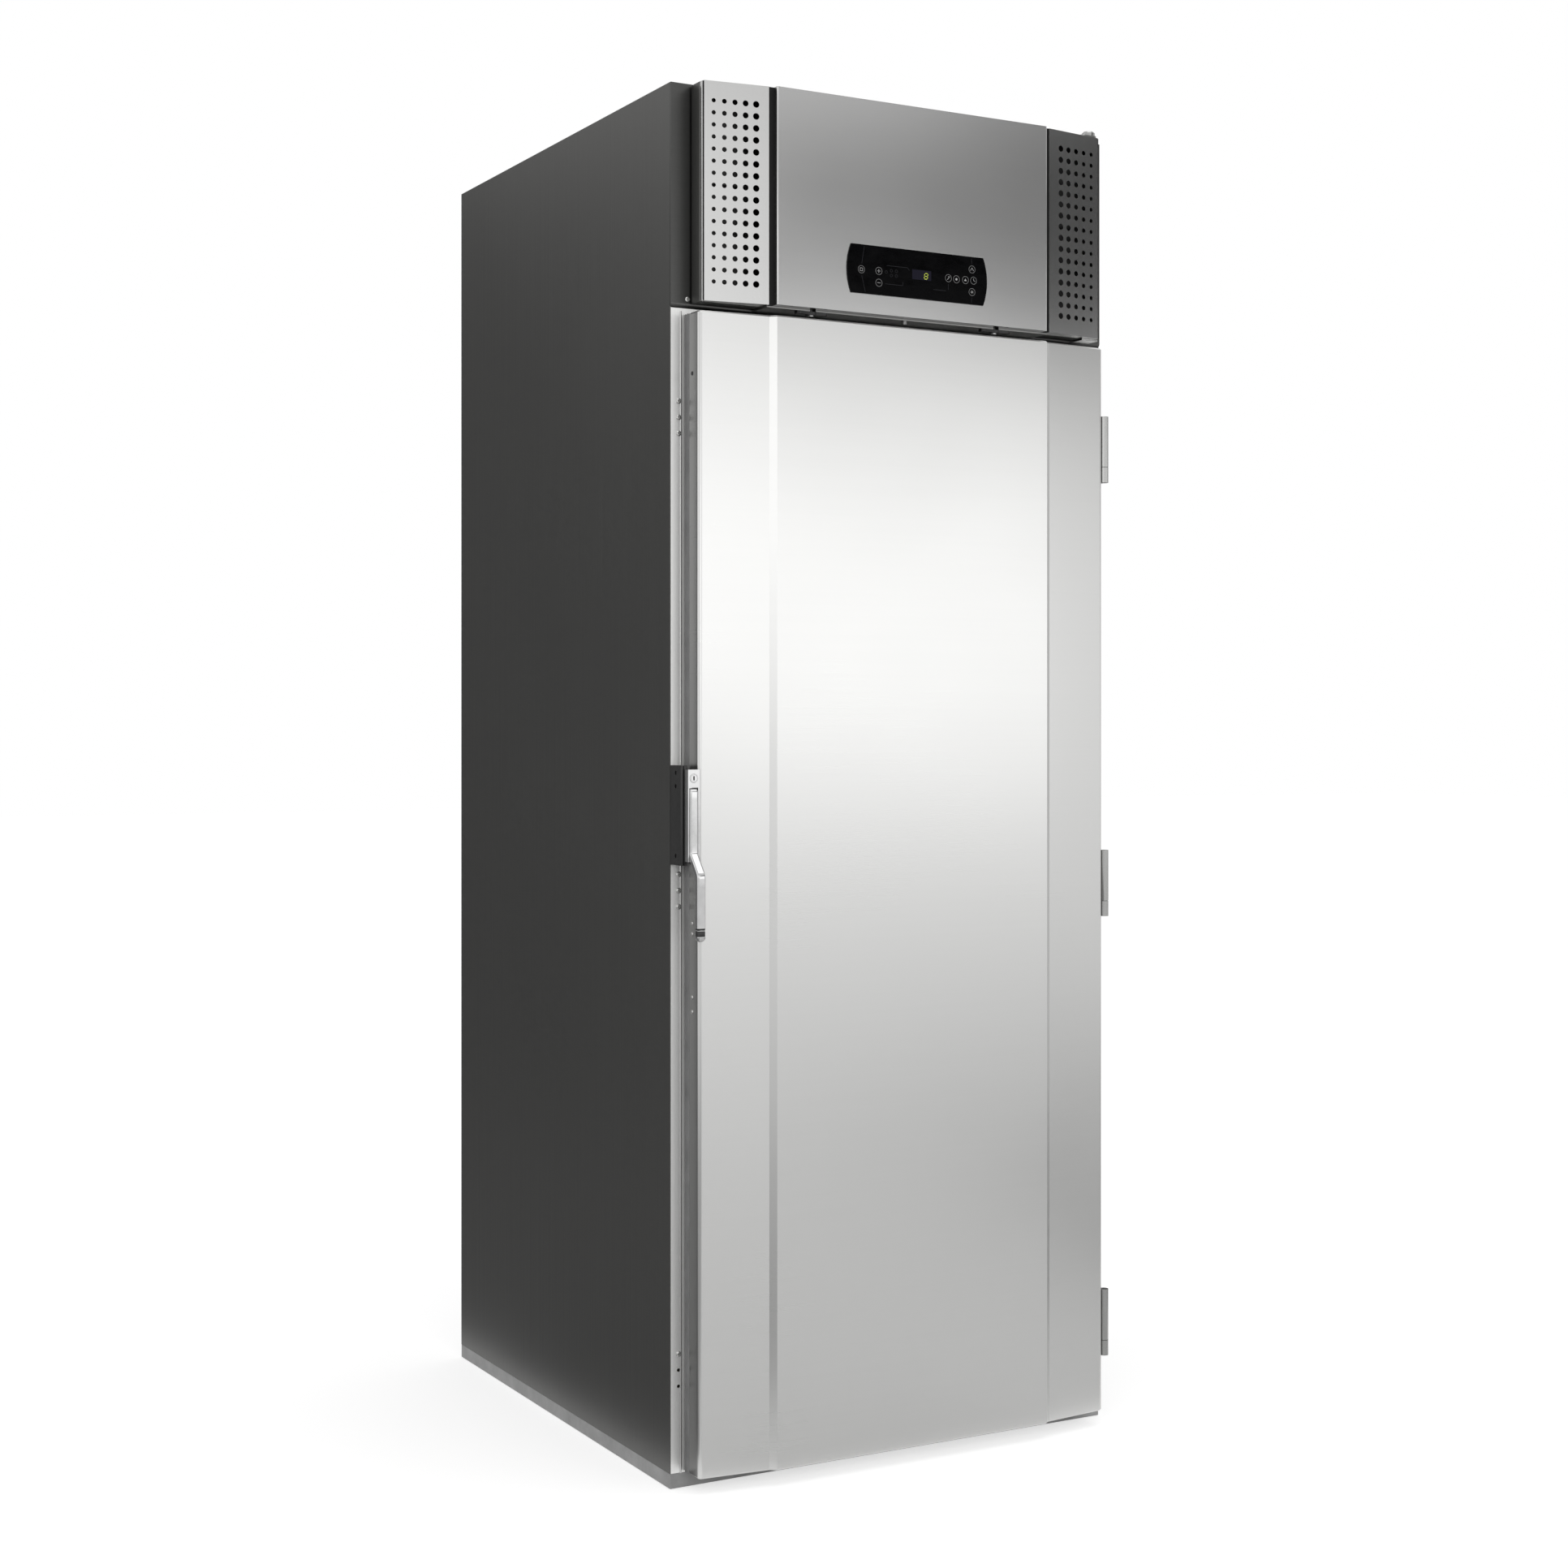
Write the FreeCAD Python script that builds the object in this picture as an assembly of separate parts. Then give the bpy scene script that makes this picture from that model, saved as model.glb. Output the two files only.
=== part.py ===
"""Roll-in blast chiller: an insulated cabinet for one trolley, with its machinery on top.

Millimetres. +X is to the right, +Y into the cabinet and +Z up. The origin is on the floor, under the
middle of the cabinet's footprint; the door and the machine cover stand in front of the cabinet.
"""
import FreeCAD, Part
import math
import os

V = FreeCAD.Vector

# ---------------------------------------------------------------- driving dimensions
cabinet_width = 864.0
cabinet_depth = 933.0
cabinet_height = 2300.0
plinth_height = 25.0
floor_height = 60.0             # top of the chamber's floor
machine_room_height = 355.0     # machine deck to roof
wall_thickness = 60.0           # insulated walls, outer skin to liner
ceiling_thickness = 60.0
skin = 1.5                      # outer sheets and machine covers
liner_sheet = 1.2
floor_plate_thickness = 3.0
liner_corner_radius = 18.0

# door frame round the chamber
jamb_depth = 25.0
frame_sheet = 1.5
upper_panel_height = 368.0      # panel that closes the machine room, down from the roof
upper_panel_proud = 3.0         # its front stands out from the door frame
upper_panel_bend = 6.0
upper_panel_lip = 17.0

# door
door_inset_left = 25.5
door_inset_right = 30.5         # the hinges need the wider margin
door_bottom = 26.0
door_top_gap = 10.0             # under the upper panel
gasket_depth = 20.0
gasket_width = 20.0
gasket_gap = 0.3
door_edge_depth = 53.0          # front of the door's outer edges, ahead of the cabinet
door_facet_depth = 65.0
front_depth = 73.0              # front of the raised middle panels of door and cover
side_facet_width = 124.0        # swept facets at both sides of the door
facet_step_width = 10.5         # slanting step between a side facet and the middle panel
door_edge_radius = 7.0
door_sheet = 1.5
door_plug_inset = 27.0          # raised field of the door's inner sheet, from the door's edge
door_plug_height = 13.0
door_plug_taper = 9.0
door_end_bevel = 3.0            # along the front's top and bottom edges

# door hinges, lift-off type
hinge_top_inset = 180.0         # middle of the upper hinge, down from the door's top
hinge_bottom_inset = 156.0      # middle of the lower hinge, up from the door's bottom
hinge_middle_height = 967.0
hinge_height = 118.0
hinge_lower_share = 27.0        # height of the knuckle that stays on the cabinet
hinge_knuckle_gap = 0.8
hinge_radius = 8.0
hinge_pin_radius = 4.0
hinge_pin_reach = 60.0          # how far the pin goes up into the door's knuckle
running_clearance = 0.05
peg_clearance = 0.3             # round small pegs in their holes
hinge_axis_right = 21.5         # axis, from the cabinet's right side
hinge_axis_depth = 45.0         # axis, ahead of the cabinet's front
hinge_leaf = 3.0
hinge_screw_pitch = 26.5
hinge_screw_rise = 11.0         # middle screw above the hinge's middle

# machine cover: a shallow case hinged at its right end
cover_inset_left = 36.0
cover_inset_right = 35.0
cover_bottom_gap = 7.0          # above the upper panel's lower edge
cover_top_gap = 3.0             # under the upper bracket
cover_rear_gap = 4.0            # behind the case, to the upper panel
cover_case_depth = 38.0         # front rim of the case, ahead of the cabinet
cover_rim = 5.0
cover_rim_bend = 3.5
cover_vent_rows = 4
cover_facet_outer_depth = 48.0
cover_facet_inner_depth = 64.0
cover_facet_inset = 4.0         # grille's outer edge, in from the case's side
cover_pivot_inset = 7.0         # pivots, in from the case's right side
cover_pivot_depth = 26.0
cover_pivot_radius = 5.0
bracket_width = 34.0
bracket_sheet = 3.0

# graded grilles of the machine cover
grille_columns = 5
grille_rows = 16
grille_column_pitch = 18.2
grille_row_pitch = 19.65
grille_edge_margin = 14.5       # outermost column, from the grille's outer edge
grille_hole_small = 6.2
grille_hole_large = 10.8
grille_hole_sides = 6

# control glass
glass_left_inset = 132.0        # from the middle panel's left edge
glass_width = 279.5
glass_rise = 32.0               # above the cover's lower edge
glass_height = 82.0
glass_board_inset = 14.0
glass_board_margin = 6.0
glass_board_depth = 26.0
glass_bulge = 8.0               # how far the ends bow out
glass_thickness = 2.0

# wing knobs under the cover
knob_left_inset = 77.0          # in from the middle panel's edges
knob_right_inset = 96.0
knob_depth = 49.0
knob_stud_radius = 3.0
knob_wing_length = 29.0
knob_wing_height = 6.0
knob_hub_radius = 9.0
ledge_sheet = 2.5
ledge_gap = 0.3
ledge_depth = 56.0
ledge_end_inset = 0.5           # in from the dark channels' outer edges
notch_half_width = 5.5

# latch at the door's left edge
latch_bottom = 1027.5
latch_height = 149.5
latch_left = 5.0                # from the cabinet's left side
latch_plate_right = 26.4
latch_rear_depth = 21.0
latch_nose_depth = 41.5
latch_face_depth = 53.7
latch_plate_thickness = 2.5
latch_cheek = 2.3
latch_channel_depth = 45.0
latch_gap = 0.5                 # between lever and cheeks
latch_rear_inset = 13.0         # left side of the latch's rear part, from the cabinet's left side
lever_thickness = 13.0
lever_front_depth = 59.0
lever_pivot_drop = 37.0         # lever's pivot, below the latch's top
lever_pin_radius = 2.5
lever_bend_rise = 4.5           # upper end of the lever's kink, above the latch's lower end
lever_bend_drop = 24.5          # lower end of the kink, below it
lever_offset = 27.0             # the grip stands this much further out than the bar
lever_grip_length = 103.0       # from the kink to the lever's end
lock_drop = 14.0                # lock, below the latch's top
lock_radius = 7.3
lock_length = 13.5
bolt_height = 34.0
bolt_depth = 11.0
bolt_length = 4.6
bolt_rise = 77.5                # bolt's middle, above the latch's lower end
bolt_middle_depth = 31.5
bolt_gap = 0.4
keeper_overhang = 6.5           # the keeper is longer than the latch at each end
keeper_depth = 40.0
keeper_left = 0.6
keeper_right = 12.0

# screw heads and the open spare hole
screw_head_radius = 4.6
screw_head_height = 2.4
open_hole_radius = 3.0
rear_screw_rise = 125.0
rear_screw_drop = 60.0

# evaporator at the back of the chamber, behind a hinged fan panel
evaporator_width = 600.0
evaporator_depth = 231.0        # side plates, out from the chamber's back
evaporator_rise = 236.0         # above the chamber's floor
evaporator_drop = 181.0         # below the chamber's ceiling
side_plate_sheet = 1.5
coil_rear_gap = 10.0
coil_depth = 95.0
coil_bottom_inset = 34.0        # in from the side plates' lower ends
coil_top_inset = 14.0
drain_pan_height = 30.0
drain_pan_lead = 50.0           # ahead of the coil
fan_panel_overlap = 16.0        # the panel laps the side plates by this much
fan_panel_gap = 0.5
fan_panel_flange = 14.0
fan_panel_pivot_inset = 6.0
fan_pin_radius = 4.0
fan_pin_reach = 12.0
lug_sheet = 3.0
lug_gap = 1.0
lug_length = 60.0               # along the side plate
fan_panel_pivot_set = 8.0       # pivot, ahead of the panel's front sheet
fan_half_spacing = 350.0        # fans, above and below the panel's middle
fan_radius = 188.0
fan_ring_gap = 6.0
fan_hub_radius = 46.0
fan_blade_count = 5
fan_blade_sheet = 2.5
fan_blade_pitch = math.radians(32)
fan_depth = 42.0
fan_set_back = 8.0              # blades start this far behind the fan panel
fan_shaft_radius = 6.0
fan_shaft_reach = 20.0          # into the motor
fan_motor_gap = 4.0
fan_bar_width = 30.0
fan_bar_sheet = 2.0
motor_radius = 40.0
motor_length = 46.0
guard_bar = 4.0
guard_thickness = 3.0
guard_ring_sides = 12
drum_sides = 20                 # round castings and vessels
knuckle_sides = 16
peg_sides = 12
mouth_sides = 24

# bumper rails for the trolley
bumper_levels = [200.0, 900.0]
bumper_height = 60.0
bumper_depth = 20.0
bumper_front = 45.0
bumper_rear_gap = 42.0          # to the evaporator's side plates
bumper_bevel = 8.0

# machine room
condenser_from_left = 150.0
condenser_from_right = 214.0
condenser_front = 70.0
condenser_depth = 75.0
condenser_height = 320.0
condenser_fan_radius = 140.0
condenser_hub_radius = 38.0
condenser_fan_depth = 32.0
shroud_depth = 60.0
compressor_from_right = 149.0
compressor_set_back = 520.0
compressor_radius = 95.0
compressor_height = 235.0
compressor_foot_half = 85.0
receiver_radius = 48.0
receiver_length = 230.0
receiver_x = 300.0
receiver_box_gap = 32.0         # behind it, to the electrical box
saddle_half_spacing = 60.0
saddle_half_depth = 30.0
electrical_box_x = 60.0
electrical_box_rear_gap = 83.0
electrical_box_size = (260.0, 150.0, 190.0)
pipe_radius = 7.0
pipe_sides = 8
pipe_hole_gap = 3.0
pipe_drop_lead = 63.0           # ahead of the evaporator coil's back
suction_height = 100.0          # suction port, above the deck

# ventilation slots
slot_length = 190.0
slot_height = 9.0
slot_pitch = 24.0
slot_column_shift = 150.0       # each side of the middle
slot_first_rise = 55.0          # lowest rear slot, above the machine deck
slot_front_rise = 60.0
slot_rear_rows = 9
slot_front_rows = 5
cover_vent_length = 80.0
cover_vent_rise = 120.0

# ---------------------------------------------------------------- derived places
left_x = -cabinet_width / 2
right_x = cabinet_width / 2
front_y = -cabinet_depth / 2
rear_y = cabinet_depth / 2


def from_left(distance):
    """X of a place this far from the cabinet's left side."""
    return left_x + distance


def from_right(distance):
    """X of a place this far from the cabinet's right side."""
    return right_x - distance


def ahead(distance):
    """Y of a place this far ahead of the cabinet's front."""
    return front_y - distance


def behind(distance):
    """Y of a place this far behind the cabinet's front."""
    return front_y + distance


deck_top = cabinet_height - machine_room_height
ceiling_height = deck_top - ceiling_thickness
upper_panel_bottom = cabinet_height - upper_panel_height
door_top = upper_panel_bottom - door_top_gap
hinge_levels = [door_top - hinge_top_inset, hinge_middle_height, door_bottom + hinge_bottom_inset]
inner_left = from_left(wall_thickness)
inner_right = from_right(wall_thickness)
inner_rear = rear_y - wall_thickness
foam_left = from_left(skin)
foam_right = from_right(skin)
foam_bottom = floor_height - floor_plate_thickness
foam_top = deck_top - skin
liner_left = inner_left - liner_sheet
liner_right = inner_right + liner_sheet
liner_rear = inner_rear + liner_sheet
liner_top = ceiling_height + liner_sheet

door_left = from_left(door_inset_left)
door_right = from_right(door_inset_right)
facet_left = door_left + side_facet_width
facet_right = door_right - side_facet_width
panel_left = facet_left + facet_step_width
panel_right = facet_right - facet_step_width
door_back_y = ahead(gasket_depth)

hinge_x = from_right(hinge_axis_right)
hinge_y = ahead(hinge_axis_depth)

cover_bottom = upper_panel_bottom + cover_bottom_gap
cover_top = cabinet_height - cover_top_gap
cover_left = from_left(cover_inset_left)
cover_right = from_right(cover_inset_right)
cover_rear_y = ahead(upper_panel_proud + cover_rear_gap)
cover_rim_y = ahead(cover_case_depth)
cover_pivot_x = cover_right - cover_pivot_inset
cover_pivot_y = ahead(cover_pivot_depth)
grille_left_outer = cover_left + cover_facet_inset
grille_right_outer = cover_right - cover_facet_inset

glass_left = panel_left + glass_left_inset
glass_right = glass_left + glass_width
glass_bottom = cover_bottom + glass_rise
glass_top = glass_bottom + glass_height

latch_top = latch_bottom + latch_height
lever_pivot_height = latch_top - lever_pivot_drop
lever_bend_top = latch_bottom + lever_bend_rise
lever_bend_bottom = latch_bottom - lever_bend_drop
lever_end = lever_bend_bottom - lever_grip_length
lock_height = latch_top - lock_drop
bolt_middle_height = latch_bottom + bolt_rise
keeper_bottom = latch_bottom - keeper_overhang
keeper_top = latch_top + keeper_overhang
latch_x0 = from_left(latch_left)
latch_x1 = door_left
lever_x0 = latch_x0 + latch_cheek + latch_gap
lever_x1 = latch_x1 - latch_cheek - latch_gap
lever_middle_y = ahead(lever_front_depth - lever_thickness / 2)
latch_middle_x = (lever_x0 + lever_x1) / 2

evaporator_bottom = floor_height + evaporator_rise
evaporator_top = ceiling_height - evaporator_drop
evaporator_middle = (evaporator_bottom + evaporator_top) / 2
fan_levels = [evaporator_middle - fan_half_spacing, evaporator_middle + fan_half_spacing]
coil_bottom = evaporator_bottom + coil_bottom_inset
coil_top = evaporator_top - coil_top_inset
side_plate_left = -evaporator_width / 2
side_plate_right = evaporator_width / 2
fan_panel_left = side_plate_left - fan_panel_overlap
fan_panel_right = side_plate_right + fan_panel_overlap
evaporator_y0 = inner_rear - evaporator_depth
coil_y1 = inner_rear - coil_rear_gap
coil_y0 = coil_y1 - coil_depth
fan_panel_back_y = evaporator_y0 - fan_panel_gap
fan_panel_front_y = fan_panel_back_y - side_plate_sheet
fan_pivot_x = fan_panel_left + fan_panel_pivot_inset
fan_pivot_y = fan_panel_front_y - fan_panel_pivot_set + side_plate_sheet


# ---------------------------------------------------------------- shape helpers
FORWARD = V(0, -1, 0)
BACKWARD = V(0, 1, 0)
UP = V(0, 0, 1)
DOWN = V(0, 0, -1)
RIGHTWARD = V(1, 0, 0)
past = 1.0                      # how far a cut runs on beyond what it cuts


def block(x0, x1, y0, y1, z0, z1):
    """A box between two corners."""
    return Part.makeBox(x1 - x0, y1 - y0, z1 - z0, V(x0, y0, z0))


def rod(base, direction, radius, length):
    """A round rod from base along direction."""
    return Part.makeCylinder(radius, length, base, direction)


def regular_outline(radius, sides):
    """A closed outline with its corners on a circle about the origin."""
    corners = []
    for index in range(sides + 1):
        angle = 2 * math.pi * (index + 0.5) / sides
        corners.append(V(radius * math.cos(angle), radius * math.sin(angle), 0))
    return Part.makePolygon(corners)


def faceted_rod(base, direction, radius, length, sides):
    """A straight rod with a regular outline."""
    solid = Part.Face(regular_outline(radius, sides)).extrude(V(0, 0, length))
    solid.Placement = FreeCAD.Placement(base, FreeCAD.Rotation(UP, direction))
    return solid


def drum(base, direction, radius, length, end_bevel=0.0):
    """A round casting or vessel in flat staves, its far end bevelled."""
    solid = Part.Face(regular_outline(radius, drum_sides)).extrude(V(0, 0, length))
    if end_bevel:
        solid = bevel(solid, end_bevel,
                lambda edge: all(abs(v.Point.z - length) < 1e-6 for v in edge.Vertexes))
    solid.Placement = FreeCAD.Placement(base, FreeCAD.Rotation(UP, direction))
    return solid


def peg(base, direction, radius, length):
    """A small round pin."""
    return faceted_rod(base, direction, radius, length, peg_sides)


def peg_hole(base, direction, radius, length):
    """The clear hole in which a peg of this radius turns."""
    across_corners = (radius + peg_clearance) / math.cos(math.pi / peg_sides)
    return faceted_rod(base, direction, across_corners, length, peg_sides)


def rounded_outline(points):
    """A closed wire in the XY plane through (u, v) or (u, v, radius) corners."""
    corners = [V(p[0], p[1], 0) for p in points]
    radii = [p[2] if len(p) > 2 else 0.0 for p in points]
    count = len(corners)
    edges = []
    starts = []
    ends = []
    for index, corner in enumerate(corners):
        if radii[index] <= 0:
            starts.append(corner)
            ends.append(corner)
            continue
        before = (corners[index - 1] - corner).normalize()
        after = (corners[(index + 1) % count] - corner).normalize()
        half_angle = before.getAngle(after) / 2
        reach = radii[index] / math.tan(half_angle)
        crown = (before + after).normalize() * (radii[index] / math.sin(half_angle) - radii[index])
        starts.append(corner + before * reach)
        ends.append(corner + after * reach)
        edges.append(Part.Arc(starts[index], corner + crown, ends[index]).toShape())
    for index in range(count):
        following = starts[(index + 1) % count]
        if ends[index].distanceToPoint(following) > 1e-6:
            edges.append(Part.LineSegment(ends[index], following).toShape())
    return Part.Wire(Part.__sortEdges__(edges))


def prism(points, plane, start, end):
    """The outline of points, drawn in plane 'xy', 'yz' or 'xz', filled out from start to end."""
    placements = {
        "xy": FreeCAD.Matrix(1, 0, 0, 0, 0, 1, 0, 0, 0, 0, 1, start, 0, 0, 0, 1),
        "yz": FreeCAD.Matrix(0, 0, 1, start, 1, 0, 0, 0, 0, 1, 0, 0, 0, 0, 0, 1),
        "xz": FreeCAD.Matrix(1, 0, 0, 0, 0, 0, -1, end, 0, 1, 0, 0, 0, 0, 0, 1),
    }
    solid = Part.Face(rounded_outline(points)).extrude(V(0, 0, end - start))
    solid.Placement = FreeCAD.Placement(placements[plane])
    return solid


def bent_sheet(points, thickness, bend=0.0):
    """Outline of a sheet folded along an open line, its thickness on the line's left side."""
    line = [V(u, v, 0) for u, v in points]
    normals = []
    for index in range(len(line) - 1):
        run = (line[index + 1] - line[index]).normalize()
        normals.append(V(-run.y, run.x, 0))
    outer_bend = bend + thickness if bend else 0.0
    near = [(line[0].x, line[0].y)]
    far = [line[0] + normals[0] * thickness]
    far_radii = [0.0]
    for index in range(1, len(line) - 1):
        mitre = normals[index - 1] + normals[index]
        turns_right = normals[index - 1].cross(normals[index]).z < 0
        near.append((line[index].x, line[index].y, bend if turns_right else outer_bend))
        far.append(line[index] + mitre * (2 * thickness / mitre.dot(mitre)))
        far_radii.append(outer_bend if turns_right else bend)
    near.append((line[-1].x, line[-1].y))
    far.append(line[-1] + normals[-1] * thickness)
    far_radii.append(0.0)
    return near + [(p.x, p.y, radius) for p, radius in zip(reversed(far), reversed(far_radii))]


def is_along(edge, axis):
    """Whether an edge is straight and runs along an axis."""
    run = edge.Vertexes[-1].Point - edge.Vertexes[0].Point
    return len(edge.Vertexes) == 2 and abs(abs(run.normalize().dot(axis)) - 1) < 1e-6


def bevel(solid, width, chosen):
    """Bevels the edges for which chosen(edge) is true."""
    return solid.makeChamfer(width, [edge for edge in solid.Edges if chosen(edge)])


def screw_head(seat, outward):
    """A screw's head on its seat."""
    return faceted_rod(seat, outward, screw_head_radius, screw_head_height, 6)


def slots(x_middle, length, z_bottom, rows, y0, y1):
    """A column of level ventilation slots that run through from y0 to y1."""
    cuts = []
    for row in range(rows):
        z = z_bottom + row * slot_pitch
        cuts.append(block(x_middle - length / 2, x_middle + length / 2, y0, y1, z, z + slot_height))
    return cuts


# ---------------------------------------------------------------- places shared by several pieces
def hinge_screw_levels(level):
    """Heights of a door hinge's three screws."""
    middle = level + hinge_screw_rise
    return [middle + hinge_screw_pitch, middle, middle - hinge_screw_pitch]


spare_screw_x = from_left(15.6)
leaf_screw_x = from_right(11.0)
spare_levels = [z for level in hinge_levels for z in hinge_screw_levels(level)]
spare_screw_levels = spare_levels[:-2]
open_hole_levels = spare_levels[-2:]
upper_panel_y = ahead(upper_panel_proud)
upper_screw_z = cover_bottom + 7.5
upper_screw_xs = [from_left(30.4), from_right(24.0)]
edge_screw_inset = 30.4
roof_screw_places = [
    (from_left(edge_screw_inset), behind(edge_screw_inset)),
    (from_right(edge_screw_inset), behind(4 * edge_screw_inset)),
    (from_left(edge_screw_inset), rear_y - edge_screw_inset),
    (from_right(edge_screw_inset), rear_y - edge_screw_inset),
]
rear_screw_levels = [plinth_height + rear_screw_rise, cabinet_height - rear_screw_drop]
bracket_x0 = cover_pivot_x - bracket_width + 10.0
bracket_x1 = bracket_x0 + bracket_width
bracket_front_y = cover_pivot_y - 14.0
bracket_reach = 60.0            # of the upper bracket over the roof
bracket_screw_back = 45.0
bracket_pin_reach = 16.0        # into the cover
ledge_top = cover_bottom - ledge_gap
ledge_bottom = ledge_top - ledge_sheet
flange_y = upper_panel_y - frame_sheet
flange_height = 22.0
knob_xs = [panel_left + knob_left_inset, panel_right - knob_right_inset]
knob_middle_x = (knob_xs[0] + knob_xs[1]) / 2
knob_y = ahead(knob_depth)

condenser_x0 = from_left(condenser_from_left)
condenser_x1 = from_right(condenser_from_right)
condenser_y = behind(condenser_front)
condenser_fan_x = (condenser_x0 + condenser_x1) / 2
condenser_fan_z = deck_top + condenser_height / 2
shroud_y0 = condenser_y + condenser_depth
shroud_y1 = shroud_y0 + shroud_depth
condenser_fan_y = shroud_y1 - condenser_fan_depth / 4
compressor_foot_top = deck_top + 12.0
electrical_box_y0 = rear_y - electrical_box_rear_gap - electrical_box_size[1]
compressor_x = from_right(compressor_from_right)
compressor_y = behind(compressor_set_back)
pipe_base = V(compressor_x, coil_y1 - pipe_drop_lead, coil_top)


# ---------------------------------------------------------------- cabinet
def base_plinth():
    """Light composite base under the whole cabinet; its flat underside stands on the floor."""
    return block(left_x, right_x, front_y, rear_y, 0, plinth_height)


def side_panel(outer_x, inward):
    """Outer side sheet with a narrow return at the back that laps the rear panel's edge."""
    inner_x = outer_x + inward * skin
    return_x = outer_x + inward * 18.0
    plan = [(outer_x, front_y), (outer_x, rear_y - skin), (return_x, rear_y - skin)]
    plan += [(return_x, rear_y - 2 * skin), (inner_x, rear_y - 2 * skin), (inner_x, front_y)]
    panel = prism(plan, "xy", plinth_height, cabinet_height)
    notch_x0 = min(inner_x, return_x)
    notch_x1 = max(inner_x, return_x)
    notch = block(notch_x0, notch_x1, rear_y - 2 * skin, rear_y, cabinet_height - skin, cabinet_height)
    return panel.cut(notch)


def rear_panel():
    """Back sheet with slots high up for the machine room's warm air."""
    panel = block(left_x, right_x, rear_y - skin, rear_y, plinth_height, cabinet_height)
    cuts = []
    for x in (-slot_column_shift, slot_column_shift):
        cuts += slots(x, slot_length, deck_top + slot_first_rise, slot_rear_rows,
                rear_y - skin - past, rear_y + past)
    return panel.cut(cuts)


def roof_panel():
    """Top sheet of the machine room, folded down at the front."""
    fold_y = upper_panel_y + skin
    line = [(rear_y - skin, cabinet_height), (fold_y, cabinet_height), (fold_y, cabinet_height - 18.0)]
    return prism(bent_sheet(line, skin), "yz", foam_left, foam_right)


def upper_front_panel():
    """Pressed panel in front of the machine room, its lower edge rolled back over the door frame."""
    back_y = upper_panel_y + skin
    line = [(upper_panel_y, cabinet_height), (upper_panel_y, upper_panel_bottom)]
    line.append((upper_panel_y + upper_panel_lip, upper_panel_bottom))
    panel = prism(bent_sheet(line, skin, upper_panel_bend), "yz", left_x, right_x)
    returns = []
    cuts = []
    for x0, x1 in ((left_x, foam_left), (foam_right, right_x)):
        lip_top = upper_panel_bottom + upper_panel_bend + skin
        returns.append(block(x0, x1, back_y, front_y, lip_top, cabinet_height))
        cuts.append(block(x0, x1, front_y, upper_panel_y + upper_panel_lip, upper_panel_bottom, lip_top))
    for x in (-slot_column_shift, slot_column_shift):
        cuts += slots(x, slot_length, deck_top + slot_front_rise, slot_front_rows,
                upper_panel_y - past, back_y + past)
    return panel.fuse(returns).cut(cuts)


def jamb(outer_x, inward):
    """Upright of the door frame: a channel open to the foam."""
    start = outer_x + inward * skin
    end = outer_x + inward * wall_thickness
    line = [(start, behind(jamb_depth)), (start, front_y), (end, front_y), (end, behind(jamb_depth))]
    if inward < 0:
        line.reverse()
    return prism(bent_sheet(line, frame_sheet), "xy", plinth_height, upper_panel_bottom)


def left_jamb():
    """Left upright, with the two open holes of the reversible door's lowest spare hinge place."""
    cuts = []
    for z in open_hole_levels:
        cuts.append(faceted_rod(V(spare_screw_x, front_y - past, z), BACKWARD, open_hole_radius,
                frame_sheet + 2 * past, 8))
    return jamb(left_x, 1).cut(cuts)


def door_lintel():
    """Level channel of the door frame above the chamber."""
    line = [(behind(jamb_depth), upper_panel_bottom), (front_y, upper_panel_bottom)]
    line += [(front_y, ceiling_height), (behind(jamb_depth), ceiling_height)]
    return prism(bent_sheet(line, frame_sheet), "yz", inner_left, inner_right)


def door_sill():
    """Low threshold between the uprights, level with the chamber's floor."""
    line = [(behind(jamb_depth), floor_height), (front_y, floor_height)]
    line += [(front_y, plinth_height), (behind(jamb_depth), plinth_height)]
    return prism(bent_sheet(line, frame_sheet), "yz", inner_left, inner_right)


def insulation_left():
    """Foam of the left wall."""
    return block(foam_left, liner_left, behind(jamb_depth), rear_y - 2 * skin, foam_bottom, foam_top)


def insulation_right():
    """Foam of the right wall."""
    return block(liner_right, foam_right, behind(jamb_depth), rear_y - 2 * skin, foam_bottom, foam_top)


def insulation_rear():
    """Foam of the back wall."""
    return block(liner_left, liner_right, liner_rear, rear_y - skin, foam_bottom, foam_top)


def insulation_ceiling():
    """Foam above the chamber, with the passage of the suction pipe."""
    foam = block(liner_left, liner_right, behind(jamb_depth), liner_rear, liner_top, foam_top)
    return foam.cut(pipe_passage())


def insulation_floor():
    """Foam under the chamber's floor plate."""
    return block(foam_left, foam_right, behind(jamb_depth), rear_y - 2 * skin, plinth_height, foam_bottom)


def floor_plate():
    """Thick plate that the trolley's wheels run on."""
    return block(liner_left, liner_right, behind(jamb_depth), liner_rear, foam_bottom, floor_height)


def chamber_liner():
    """Inner sheet of walls and ceiling, coved at its two rear corners."""
    radius = liner_corner_radius
    front = behind(jamb_depth)
    outer = [(liner_left, front), (liner_right, front)]
    outer += [(liner_right, liner_rear, radius + liner_sheet), (liner_left, liner_rear, radius + liner_sheet)]
    inner = [(inner_left, front - past), (inner_right, front - past)]
    inner += [(inner_right, inner_rear, radius), (inner_left, inner_rear, radius)]
    liner = prism(outer, "xy", floor_height, liner_top)
    hollow = prism(inner, "xy", floor_height - past, ceiling_height)
    return liner.cut([hollow, pipe_passage()])


def machine_deck():
    """Sheet that carries the machinery above the chamber."""
    deck = block(foam_left, foam_right, upper_panel_y + skin, rear_y - 2 * skin, foam_top, deck_top)
    return deck.cut(pipe_passage())


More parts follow.
